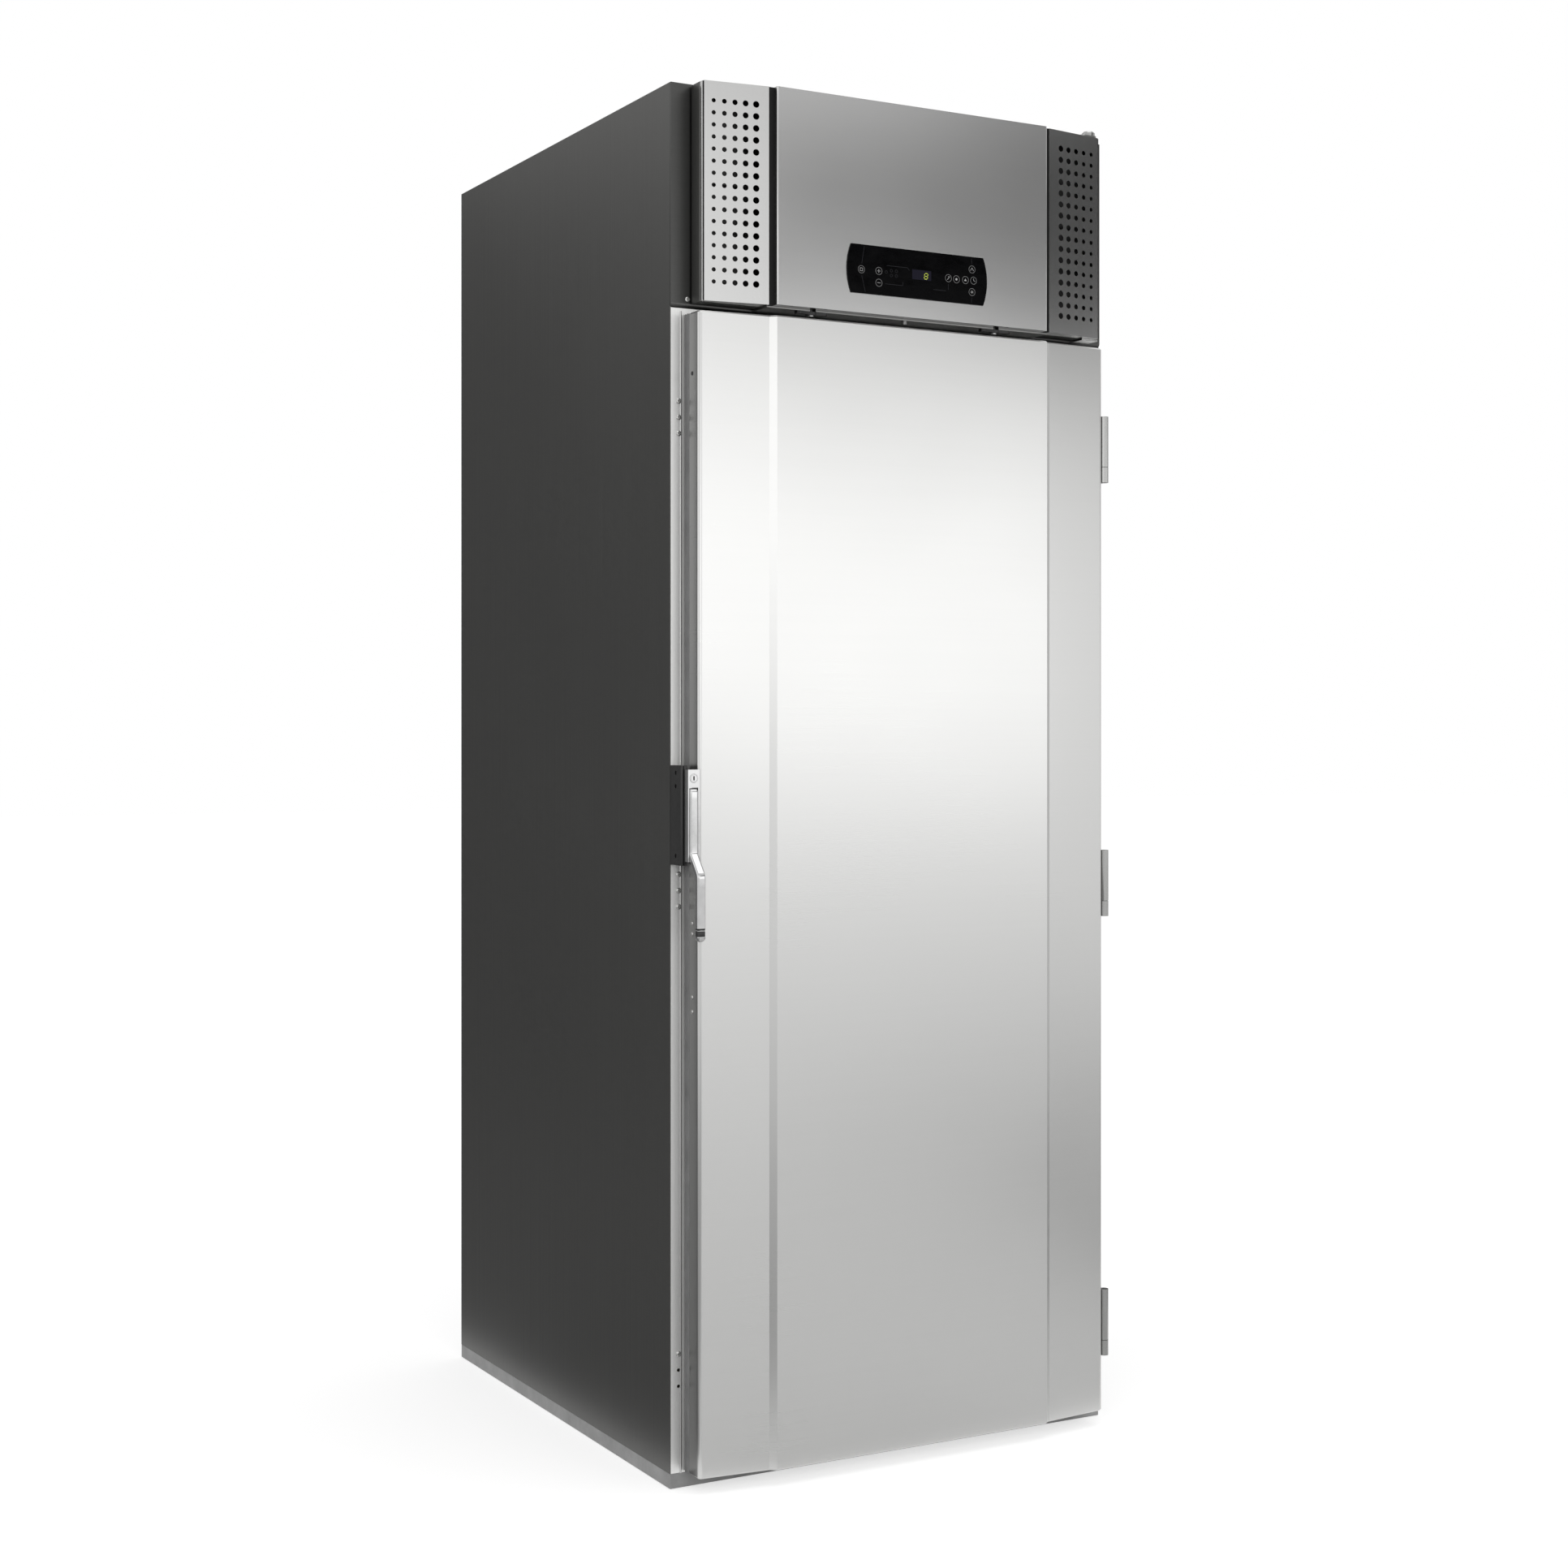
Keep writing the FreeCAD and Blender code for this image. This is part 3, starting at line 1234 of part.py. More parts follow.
def grille(outer_x, inner_x):
    """Swept side facet of the cover with its field of graded holes, smallest at the outer edge."""
    side = 1 if inner_x > outer_x else -1
    outer_y = ahead(cover_facet_outer_depth)
    inner_y = ahead(cover_facet_inner_depth)
    plan = [(outer_x, cover_rim_y), (outer_x, outer_y, 2.5), (inner_x, inner_y), (inner_x, cover_rim_y)]
    hollow_x0 = outer_x + side * skin
    hollow_x1 = inner_x - side * skin
    hollow_plan = [(hollow_x0, cover_rim_y + past), (hollow_x0, outer_y + skin), (hollow_x1, inner_y + skin)]
    hollow_plan.append((hollow_x1, cover_rim_y + past))
    shell = prism(plan, "xy", cover_bottom, cover_top)
    hollow = prism(hollow_plan, "xy", cover_bottom + skin, cover_top - skin)
    slope = (inner_y - outer_y) / (inner_x - outer_x)
    inward = V(-slope, 1, 0).normalize()
    z_middle = (cover_bottom + cover_top) / 2
    holes = []
    for column in range(grille_columns):
        x = outer_x + side * (grille_edge_margin + column * grille_column_pitch)
        y = outer_y + slope * (x - outer_x)
        share = column / (grille_columns - 1)
        diameter = grille_hole_small + (grille_hole_large - grille_hole_small) * share
        for row in range(grille_rows):
            z = z_middle + (row - (grille_rows - 1) / 2) * grille_row_pitch
            start = V(x, y, z) - inward * 2 * skin
            holes.append(faceted_rod(start, inward, diameter / 2, 5 * skin, grille_hole_sides))
    return shell.cut(hollow).cut(Part.makeCompound(holes))


def cover_strips():
    """Dark channels between the grilles and the middle panel."""
    y0 = ahead(cover_facet_inner_depth - 2.0)
    strips = []
    for x0, x1 in ((facet_left, panel_left), (panel_right, facet_right)):
        strips.append(block(x0, x1, y0, cover_rim_y, cover_bottom, cover_top))
    return Part.makeCompound(strips)


def control_glass():
    """Glass touch panel with bowed ends."""
    x0 = glass_left + glass_bulge
    x1 = glass_right - glass_bulge
    z_middle = (glass_bottom + glass_top) / 2
    y0 = ahead(front_depth + glass_thickness)
    top_left = V(x0, y0, glass_top)
    top_right = V(x1, y0, glass_top)
    bottom_right = V(x1, y0, glass_bottom)
    bottom_left = V(x0, y0, glass_bottom)
    edges = [
        Part.LineSegment(top_left, top_right).toShape(),
        Part.Arc(top_right, V(x1 + glass_bulge, y0, z_middle), bottom_right).toShape(),
        Part.LineSegment(bottom_right, bottom_left).toShape(),
        Part.Arc(bottom_left, V(x0 - glass_bulge, y0, z_middle), top_left).toShape(),
    ]
    return Part.Face(Part.Wire(edges)).extrude(V(0, glass_thickness, 0))


def control_board():
    """Electronics box behind the glass."""
    y0 = ahead(front_depth - skin)
    x0 = glass_left + glass_board_inset
    x1 = glass_right - glass_board_inset
    z0 = glass_bottom + glass_board_margin
    return block(x0, x1, y0, y0 + glass_board_depth, z0, glass_top - glass_board_margin)


def wing_knob(x):
    """Quarter-turn knob: collar inside the cover, stud through the notch, hub and two wings below."""
    wing_top = ledge_bottom - ledge_gap
    wing_bottom = wing_top - knob_wing_height
    stud_bottom = wing_bottom - 2.5
    collar_bottom = cover_bottom + skin + 0.3
    collar_height = 4.0
    stud = peg(V(x, knob_y, stud_bottom), UP, knob_stud_radius, collar_bottom + collar_height - stud_bottom)
    collar = peg(V(x, knob_y, collar_bottom), UP, knob_stud_radius + 3, collar_height)
    hub = peg(V(x, knob_y, wing_bottom), UP, knob_hub_radius, knob_wing_height)
    reach = knob_wing_length
    waist = 5.0
    tip = 9.0
    nip = 4.0
    quarter = [(reach - nip, tip), (reach, tip - nip)]
    plan = [(x, knob_y + waist)] + [(x + u, knob_y + v) for u, v in quarter]
    plan += [(x + u, knob_y - v) for u, v in reversed(quarter)] + [(x, knob_y - waist)]
    plan += [(x - u, knob_y - v) for u, v in quarter] + [(x - u, knob_y + v) for u, v in reversed(quarter)]
    wings = prism(plan, "xy", wing_bottom + 1, wing_top)
    return stud.fuse([collar, hub, wings])


# ---------------------------------------------------------------- nodes
nodes = {
    "base_plinth": base_plinth(),
    "left_side_panel": side_panel(left_x, 1),
    "right_side_panel": side_panel(right_x, -1),
    "rear_panel": rear_panel(),
    "roof_panel": roof_panel(),
    "upper_front_panel": upper_front_panel(),
    "left_jamb": left_jamb(),
    "right_jamb": jamb(right_x, -1),
    "door_lintel": door_lintel(),
    "door_sill": door_sill(),
    "insulation_left": insulation_left(),
    "insulation_right": insulation_right(),
    "insulation_rear": insulation_rear(),
    "insulation_ceiling": insulation_ceiling(),
    "insulation_floor": insulation_floor(),
    "floor_plate": floor_plate(),
    "chamber_liner": chamber_liner(),
    "machine_deck": machine_deck(),
    "trolley_bumpers": trolley_bumpers(),
    "latch_keeper": latch_keeper(),
    "cabinet_screws": cabinet_screws(),
    "frame_hinge_leaves": frame_hinge_leaves(),
    "cover_hinge_brackets": cover_hinge_brackets(),
    "cover_ledge": cover_ledge(),
    "compressor": compressor(),
    "condenser_coil": condenser_coil(),
    "condenser_fan_shroud": condenser_fan_shroud(),
    "condenser_fan_motor": condenser_fan_motor(),
    "condenser_fan_rotor": condenser_fan_rotor(),
    "liquid_receiver": liquid_receiver(),
    "electrical_box": electrical_box(),
    "refrigerant_pipes": refrigerant_pipes(),
    "evaporator_coil": evaporator_coil(),
    "evaporator_side_plates": evaporator_side_plates(),
    "drain_pan": drain_pan(),
    "evaporator_fan_panel": evaporator_fan_panel(),
    "evaporator_fan_motors": evaporator_fan_motors(),
    "evaporator_fan_guards": evaporator_fan_guards(),
    "evaporator_fan_lower": evaporator_fan(fan_levels[0]),
    "evaporator_fan_upper": evaporator_fan(fan_levels[1]),
    "door_skin": door_skin(),
    "door_insulation": door_insulation(),
    "door_inner_panel": door_inner_panel(),
    "door_gasket": door_gasket(),
    "door_hinge_leaves": door_hinge_leaves(),
    "latch_housing": latch_housing(),
    "lever_pivot_pin": lever_pivot_pin(),
    "latch_bolt": latch_bolt(),
    "latch_lever": latch_lever(),
    "lock_cylinder": lock_cylinder(),
    "cover_case": cover_case(),
    "cover_centre_panel": cover_centre_panel(),
    "cover_left_grille": grille(grille_left_outer, facet_left),
    "cover_right_grille": grille(grille_right_outer, facet_right),
    "cover_strips": cover_strips(),
    "control_glass": control_glass(),
    "control_board": control_board(),
    "wing_knob_left": wing_knob(knob_xs[0]),
    "wing_knob_right": wing_knob(knob_xs[1]),
}

os.makedirs("parts", exist_ok=True)
for name, shape in nodes.items():
    shape.exportStep("parts/" + name + ".step")
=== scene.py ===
"""Looks of a roll-in blast chiller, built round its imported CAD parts."""

import math

import bmesh
import bpy
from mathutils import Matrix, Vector


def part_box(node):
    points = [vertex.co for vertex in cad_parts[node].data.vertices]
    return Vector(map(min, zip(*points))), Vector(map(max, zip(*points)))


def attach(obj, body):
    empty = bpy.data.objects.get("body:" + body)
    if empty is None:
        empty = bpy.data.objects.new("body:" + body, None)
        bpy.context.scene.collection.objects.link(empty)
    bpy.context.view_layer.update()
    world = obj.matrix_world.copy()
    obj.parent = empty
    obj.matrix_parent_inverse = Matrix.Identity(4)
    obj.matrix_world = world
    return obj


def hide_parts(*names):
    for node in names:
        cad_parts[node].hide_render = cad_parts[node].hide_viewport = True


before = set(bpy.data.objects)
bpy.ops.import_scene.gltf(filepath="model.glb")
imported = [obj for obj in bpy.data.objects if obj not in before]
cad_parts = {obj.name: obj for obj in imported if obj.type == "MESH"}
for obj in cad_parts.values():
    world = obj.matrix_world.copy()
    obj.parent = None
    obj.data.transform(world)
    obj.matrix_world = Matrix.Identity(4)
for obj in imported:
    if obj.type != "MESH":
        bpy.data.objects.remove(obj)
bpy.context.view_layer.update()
scene = bpy.context.scene
MM = 0.001


def mm(*values):
    """A point given in millimetres."""
    return Vector(values) * MM


def profile_mm(*pairs):
    """A turned piece's (radius, height) points given in millimetres."""
    return [(radius * MM, height * MM) for radius, height in pairs]


# ---------------------------------------------------------------- materials
MIX_SHARE, MIX_A, MIX_B, MIX_COLOUR = 0, 6, 7, 2    # a Mix node's sockets for colour
ALONG, ACROSS = 2.2, 1100.0           # brushed grain: noise cells per metre
PAINTED_SIDE_SHADE = 0.43                     # painted shade: tone of the side beyond a fold against the front face
FIN_PITCH, FIN_ROW = 0.006, 0.038     # fins and the tube rows behind them, metres


class Look:
    """A Principled material with short calls for its texture nodes."""

    def __init__(self, name, **constants):
        self.material = bpy.data.materials.new(name)
        self.material.use_nodes = True
        self.tree = self.material.node_tree
        self.shader = self.tree.nodes["Principled BSDF"]
        for key, value in constants.items():
            self.shader.inputs[key.replace("_", " ")].default_value = value
        self.place = self.node("ShaderNodeTexCoord").outputs["Object"]

    def node(self, kind, **settings):
        made = self.tree.nodes.new(kind)
        for key, value in settings.items():
            setattr(made, key, value)
        return made

    def link(self, output, socket):
        self.tree.links.new(output, socket)

    def noise(self, scale, detail=2.0, rough=0.5, offset=0.0):
        """Noise whose cells are 1/scale metres along each axis; one number stands for all three."""
        mapping = self.node("ShaderNodeMapping")
        mapping.inputs["Scale"].default_value = scale if isinstance(scale, tuple) else (scale,) * 3
        mapping.inputs["Location"].default_value = (offset, offset, offset)
        self.link(self.place, mapping.inputs["Vector"])
        made = self.node("ShaderNodeTexNoise")
        made.inputs["Scale"].default_value = 1.0
        made.inputs["Detail"].default_value = detail
        made.inputs["Roughness"].default_value = rough
        self.link(mapping.outputs[0], made.inputs["Vector"])
        return made.outputs[0]

    def wave(self, direction, pitch, distortion=0.0):
        """Bands across a direction, about a pitch apart."""
        made = self.node("ShaderNodeTexWave", wave_type="BANDS", bands_direction=direction,
                         wave_profile="SIN")
        made.inputs["Scale"].default_value = 1 / pitch / math.pi
        made.inputs["Distortion"].default_value = distortion
        self.link(self.place, made.inputs["Vector"])
        return made.outputs["Fac"]

    def spread(self, source, low, high, start=0.3, end=0.7):
        """A value from low to high as source goes from start to end."""
        made = self.node("ShaderNodeMapRange")
        made.inputs["From Min"].default_value = start
        made.inputs["From Max"].default_value = end
        made.inputs["To Min"].default_value = low
        made.inputs["To Max"].default_value = high
        self.link(source, made.inputs["Value"])
        return made.outputs[0]

    def math(self, operation, a, b):
        made = self.node("ShaderNodeMath", operation=operation)
        for socket, value in zip(made.inputs, (a, b)):
            if isinstance(value, (int, float)):
                socket.default_value = value
            else:
                self.link(value, socket)
        return made.outputs[0]

    def tint(self, share, dark, light):
        """Colour between dark and light by share."""
        made = self.node("ShaderNodeMix", data_type="RGBA")
        made.inputs[MIX_A].default_value = (*dark, 1)
        made.inputs[MIX_B].default_value = (*light, 1)
        self.link(share, made.inputs[MIX_SHARE])
        self.link(made.outputs[MIX_COLOUR], self.shader.inputs["Base Color"])
        return made.outputs[MIX_COLOUR]

    def paint_shade_beyond(self, shade, x):
        """Darkens the colour left of x: painted shade on the side face beyond a fold."""
        axes = self.node("ShaderNodeSeparateXYZ")
        self.link(self.place, axes.inputs[0])
        blend = 0.0002
        weight = self.spread(axes.outputs["X"], PAINTED_SIDE_SHADE, 1.0, x - blend, x + blend)
        made = self.node("ShaderNodeVectorMath", operation="SCALE")
        self.link(shade, made.inputs[0])
        self.link(weight, made.inputs["Scale"])
        self.link(made.outputs[0], self.shader.inputs["Base Color"])

    def rough(self, value, more=None):
        """Roughness from one value, or from the sum of two."""
        if more is not None:
            value = self.math("ADD", value, more)
        self.link(value, self.shader.inputs["Roughness"])

    def bump(self, height, strength, distance):
        made = self.node("ShaderNodeBump")
        made.inputs["Strength"].default_value = strength
        made.inputs["Distance"].default_value = distance
        self.link(height, made.inputs["Height"])
        self.link(made.outputs[0], self.shader.inputs["Normal"])


def scaled(colour, factor):
    """A colour made brighter or darker by a factor."""
    return tuple(min(1.0, c * factor) for c in colour)


def brushed(name, colour, roughness, grain="x", contrast=0.05, spot=0.05, scratch=0.03, fold=None,
            metallic=1.0):
    """Rolled sheet steel: fine scratches along the grain, faint bands, cloudy gloss.

    Contrast is the spread of tone and spot the spread of roughness.
    """
    look = Look(name, Metallic=metallic)
    stretch = (ALONG, ALONG, ACROSS) if grain == "x" else (ACROSS, ACROSS, ALONG)
    broad = tuple(s * 0.22 if s == ACROSS else s * 0.5 for s in stretch)
    fine = look.noise(stretch, 3.0, 0.6)
    bands = look.noise(broad, 2.0, 0.5, 7.3)
    cloud = look.noise(1.6, 2.0, 0.5, 3.1)
    share = look.math("ADD", look.spread(fine, 0.0, 0.45), look.spread(bands, 0.0, 0.35))
    share = look.math("ADD", share, look.spread(cloud, 0.0, 0.2))
    shade = look.tint(share, scaled(colour, 1 - contrast), scaled(colour, 1 + contrast))
    # painted shade: the colour beyond the fold is darkened
    if fold is not None:
        look.paint_shade_beyond(shade, fold)
    gloss = look.spread(fine, roughness - spot, roughness + spot)
    look.rough(gloss, look.spread(cloud, -0.02, 0.03))
    look.bump(fine, scratch, 0.0002)
    return look.material


def plastic(name, colour, roughness, grain=1400.0, strength=0.12, specular=0.45):
    """Moulded plastic or rubber: fine pebble grain with slightly worn, dusty patches."""
    look = Look(name, Specular_IOR_Level=specular)
    pebble = look.noise(grain, 2.0, 0.5)
    worn = look.noise(22, 4.0, 0.6, 2.7)
    look.tint(look.spread(worn, 0.0, 1.0), scaled(colour, 0.86), scaled(colour, 1.22))
    gloss = look.spread(pebble, roughness - 0.05, roughness + 0.05)
    look.rough(gloss, look.spread(worn, -0.04, 0.06))
    look.bump(pebble, strength, 0.0003)
    return look.material


def polished(name, colour, roughness):
    """Plated or polished metal with light haze and hairline wear."""
    look = Look(name, Metallic=1.0)
    haze = look.noise(60, 3.0, 0.6)
    hair = look.noise((700, 700, 40), 2.0, 0.5, 5.0)
    look.tint(look.spread(haze, 0.0, 1.0), scaled(colour, 0.94), scaled(colour, 1.05))
    look.rough(look.spread(haze, roughness * 0.7, roughness * 1.5), look.spread(hair, 0.0, 0.05))
    look.bump(hair, 0.02, 0.0001)
    return look.material


def spangled(name, colour):
    """Galvanised sheet: zinc crystals of slightly different grey."""
    look = Look(name, Metallic=0.9)
    mapping = look.node("ShaderNodeMapping")
    mapping.inputs["Scale"].default_value = (70, 70, 70)
    look.link(look.place, mapping.inputs["Vector"])
    cells = look.node("ShaderNodeTexVoronoi")
    look.link(mapping.outputs[0], cells.inputs["Vector"])
    separate = look.node("ShaderNodeSeparateColor")
    look.link(cells.outputs["Color"], separate.inputs[0])
    crystal = separate.outputs[0]
    look.tint(crystal, scaled(colour, 0.88), scaled(colour, 1.1))
    look.rough(look.spread(crystal, 0.34, 0.5, 0.0, 1.0))
    look.bump(look.noise(240, 2.0), 0.05, 0.0003)
    return look.material


def foam(name, colour):
    """Cut polyurethane foam: small open cells and uneven yellowing."""
    look = Look(name, Roughness=0.95)
    patch = look.noise(8, 4.0, 0.6)
    cells = look.noise(500, 3.0, 0.7, 1.0)
    look.tint(look.spread(patch, 0.0, 1.0), scaled(colour, 0.85), scaled(colour, 1.1))
    look.bump(cells, 0.5, 0.001)
    return look.material


def finned(name, colour):
    """Face of a finned block: painted shade in the gaps between thin fins, and the painted shadow of
    each tube row.
    """
    look = Look(name, Metallic=0.35)
    fins = look.wave("X", FIN_PITCH, 0.25)
    rows = look.wave("Z", FIN_ROW)
    dents = look.noise((24, 24, 9), 2.0, 0.5, 4.4)
    line = look.spread(fins, 0.0, 1.0, 0.25, 0.7)
    line = look.math("MULTIPLY", line, look.spread(rows, 0.55, 1.0, 0.0, 0.35))
    line = look.math("MULTIPLY", line, look.spread(dents, 0.85, 1.0))
    look.tint(line, scaled(colour, 0.1), colour)
    look.rough(look.spread(dents, 0.42, 0.5))
    look.bump(fins, 0.5, 0.0012)
    return look.material


def enamel(name, colour, roughness):
    """Sprayed paint with fine orange peel and darker settled dust."""
    look = Look(name, Coat_Weight=0.15)
    peel = look.noise(350, 2.0)
    dust = look.noise(14, 4.0, 0.6, 4.0)
    look.tint(look.spread(dust, 0.0, 1.0), scaled(colour, 0.85), scaled(colour, 1.3))
    look.rough(look.spread(peel, roughness - 0.04, roughness + 0.04), look.spread(dust, 0.0, 0.1))
    look.bump(peel, 0.12, 0.0004)
    return look.material


def glass(name):
    """Black printed glass with faint wiped-off smears in its gloss."""
    look = Look(name, Specular_IOR_Level=0.06)
    smear = look.noise((26, 26, 60), 4.0, 0.6)
    look.tint(look.spread(smear, 0.0, 1.0), (0.0012, 0.0012, 0.0014), (0.0026, 0.0026, 0.003))
    look.rough(look.spread(smear, 0.08, 0.18))
    look.bump(smear, 0.01, 0.0002)
    return look.material


def printed(name, colour, glow=0.0):
    """Screen-printed ink, or a lit segment where glow is above 0."""
    look = Look(name, Roughness=0.5, Specular_IOR_Level=0.08)
    dots = look.noise(2500, 1.0)
    shade = look.tint(look.spread(dots, 0.0, 1.0), scaled(colour, 0.85), scaled(colour, 1.1))
    look.rough(look.spread(dots, 0.42, 0.58))
    if glow:
        look.link(shade, look.shader.inputs["Emission Color"])
        look.shader.inputs["Emission Strength"].default_value = glow
    return look.material


STEEL = (0.5, 0.5, 0.49)
DOOR_FOLD_X = -0.4061    # the door skin's left fold, metres
mats = {
    "stainless": brushed("brushed_stainless", STEEL, 0.3, contrast=0.03, spot=0.03),
    # painted shade: the hinges' steel is darkened below the rest
    "hinge_shade_steel": brushed("hinge_painted_shade", (0.34, 0.34, 0.335), 0.24, "z", 0.04, 0.03),
    # painted light: the door posts' steel is made paler and partly matte so it reads brighter than
    # the rest
    "jamb_lit_steel": brushed("jamb_painted_light", (0.8, 0.8, 0.79), 0.34, "z", 0.025, 0.03, metallic=0.62),
    "jamb_lip": brushed("jamb_fold_stainless", (0.46, 0.46, 0.455), 0.3, "z", 0.02, 0.02),
    # painted shade: the door's left side face, left of the skin's fold, is darkened to under half the
    # front's tone
    "door_steel": brushed("door_stainless", (0.58, 0.58, 0.573), 0.29, "x", 0.01, 0.015,
                          fold=DOOR_FOLD_X),
    "cover_steel": brushed("cover_stainless", (0.5, 0.5, 0.496), 0.22, "x", 0.008, 0.008,
                           scratch=0.012),
    "grille_steel": brushed("grille_stainless", (0.48, 0.48, 0.475), 0.2, "z", 0.01, 0.01),
    # painted shade: the side panels' steel is darkened to about a quarter of the front's
    "dark_stainless": brushed("side_painted_shade_stainless", (0.12, 0.12, 0.116), 0.42, "z", 0.04),
    # painted shade: the upper front panel's steel is darkened to about a sixth of the front's
    "header_shade_steel": brushed("upper_panel_painted_shade", (0.085, 0.085, 0.083), 0.35, contrast=0.05),
    # painted shade: the ledge under the cover is darkened to under half the front's tone
    "ledge_shade_steel": brushed("ledge_painted_shade", (0.22, 0.22, 0.216), 0.35, contrast=0.04),
    "galvanised": spangled("galvanised_sheet", (0.5, 0.51, 0.52)),
    "plinth": plastic("plinth_composite", (0.34, 0.34, 0.34), 0.6, grain=500.0),
    "foam": foam("pu_foam", (0.78, 0.66, 0.4)),
    "grey_plastic": plastic("grey_plastic", (0.3, 0.31, 0.32), 0.5),
    "black_plastic": plastic("black_plastic", (0.018, 0.018, 0.018), 0.38),
    # painted shade: near-black, dull plastic for the cover's strips and for bars along the grilles'
    # edges, standing for the shade in those grooves
    "matt_black": plastic("groove_painted_shade", (0.008, 0.008, 0.008), 0.5, specular=0.15),
    "gasket": plastic("seal_rubber", (0.19, 0.19, 0.19), 0.62, grain=900.0),
    "chrome": polished("satin_chrome", (0.5, 0.5, 0.5), 0.12),
    "screw_steel": polished("screw_steel", (0.5, 0.5, 0.49), 0.24),
    "black_paint": enamel("black_enamel", (0.02, 0.02, 0.021), 0.35),
    "fins": finned("aluminium_fins", (0.62, 0.63, 0.64)),
    # painted shade: the condenser coil behind the slots is darkened to about a fifth of the other
    # fins
    "shaded_fins": finned("condenser_painted_shade_fins", (0.13, 0.134, 0.14)),
    "copper": polished("copper_tube", (0.75, 0.38, 0.24), 0.3),
    "control_glass": glass("black_glass"),
    "ink": printed("key_ink", (0.42, 0.42, 0.42)),
    "ring_ink": printed("ring_ink", (0.17, 0.17, 0.17)),
    "dim_ink": printed("dim_ink", (0.02, 0.02, 0.023)),
    "window": printed("display_window", (0.008, 0.0073, 0.0155)),
    "digit": printed("lit_digit", (0.55, 0.64, 0.09), 0.45),
}
# nodes whose material differs from the rest of their slot; several are lighter or darker copies of
# stainless that paint light and shade
special = {
    "door_skin": "door_steel",
    "cover_centre_panel": "cover_steel",
    "upper_front_panel": "header_shade_steel",
    "cover_ledge": "ledge_shade_steel",
    "left_jamb": "jamb_lit_steel",
    "right_jamb": "jamb_lit_steel",
    "door_hinge_leaves": "hinge_shade_steel",
    "frame_hinge_leaves": "hinge_shade_steel",
    "cover_hinge_brackets": "hinge_shade_steel",
    "condenser_coil": "shaded_fins",
    "cover_strips": "matt_black",
}
for name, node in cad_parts.items():
    slot_name = node.data.materials[0].name.split(".")[0]
    for material_slot in node.material_slots:
        material_slot.link = "OBJECT"
        material_slot.material = mats[special.get(name, slot_name)]


# ---------------------------------------------------------------- mesh helpers
SAME_PLACE = 0.00002    # points nearer than this are one, metres


def make(name, bm, look, body, stands_for=(), sharp=35.0, faces_front=False):
    """Turns a bmesh into a piece that rides on a body; an open sheet may be set to face the front."""
    bmesh.ops.recalc_face_normals(bm, faces=bm.faces)
    if faces_front:
        bm.normal_update()
        if sum(face.normal.y * face.calc_area() for face in bm.faces) > 0:
            bmesh.ops.reverse_faces(bm, faces=bm.faces)
    mesh = bpy.data.meshes.new(name)
    bm.to_mesh(mesh)
    bm.free()
    mesh.materials.append(mats[look])
    for polygon in mesh.polygons:
        polygon.use_smooth = True
    mesh.set_sharp_from_angle(angle=math.radians(sharp))
    obj = bpy.data.objects.new(name, mesh)
    scene.collection.objects.link(obj)
    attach(obj, body)
    if stands_for:
        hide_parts(*stands_for)
    return obj


def frame_along(axis):
    """Two directions at right angles to axis."""
    axis = Vector(axis).normalized()
    helper = Vector((0, 0, 1)) if abs(axis.z) < 0.9 else Vector((1, 0, 0))
    u = axis.cross(helper).normalized()
    return u, axis.cross(u).normalized(), axis


def lathe(bm, base, axis, profile, segments, dent=None):
    """Turns (radius, height) points about an axis from base; dent(radius, angle) lowers a point.

    A radius of 0 closes the form.
    """
    u, v, w = frame_along(axis)
    rings = []
    for radius, height in profile:
        if radius < 1e-6:
            drop = dent(0.0, 0.0) if dent else 0.0
            rings.append([bm.verts.new(base + w * (height - drop))])
            continue
        ring = []
        for index in range(segments):
            angle = 2 * math.pi * index / segments
            drop = dent(radius, angle) if dent else 0.0
            spoke = (u * math.cos(angle) + v * math.sin(angle)) * radius
            ring.append(bm.verts.new(base + spoke + w * (height - drop)))
        rings.append(ring)
    for low, high in zip(rings, rings[1:]):
        for index in range(segments):
            after = (index + 1) % segments
            if len(low) == 1:
                bm.faces.new((low[0], high[index], high[after]))
            elif len(high) == 1:
                bm.faces.new((low[index], low[after], high[0]))
            else:
                bm.faces.new((low[index], low[after], high[after], high[index]))


def tube(bm, centres, radius, sides, closed=False):
    """A round bar through centres, in a plane at right angles to each run's middle direction."""
    count = len(centres)
    rings = []
    for index, centre in enumerate(centres):
        before = centres[(index - 1) % count] if closed or index else centre
        after = centres[(index + 1) % count] if closed or index < count - 1 else centre
        u, v, _ = frame_along(after - before)
        ring = []
        for side in range(sides):
            angle = 2 * math.pi * side / sides
            ring.append(bm.verts.new(centre + (u * math.cos(angle) + v * math.sin(angle)) * radius))
        rings.append(ring)
    pairs = list(zip(rings, rings[1:])) + ([(rings[-1], rings[0])] if closed else [])
    for low, high in pairs:
        for side in range(sides):
            after = (side + 1) % sides
            bm.faces.new((low[side], low[after], high[after], high[side]))
    if not closed:
        bm.faces.new(rings[0])
        bm.faces.new(rings[-1])


def soften(obj, width):
    """Rounds the crisp edges of a carried-over CAD node with modifiers."""
    weld = obj.modifiers.new("weld", "WELD")
    weld.merge_threshold = SAME_PLACE
    rounding = obj.modifiers.new("edge", "BEVEL")
    rounding.width = width
    rounding.segments = 2
    rounding.limit_method = "ANGLE"
    rounding.angle_limit = math.radians(38)
    rounding.harden_normals = False
    rounding.miter_outer = "MITER_ARC"


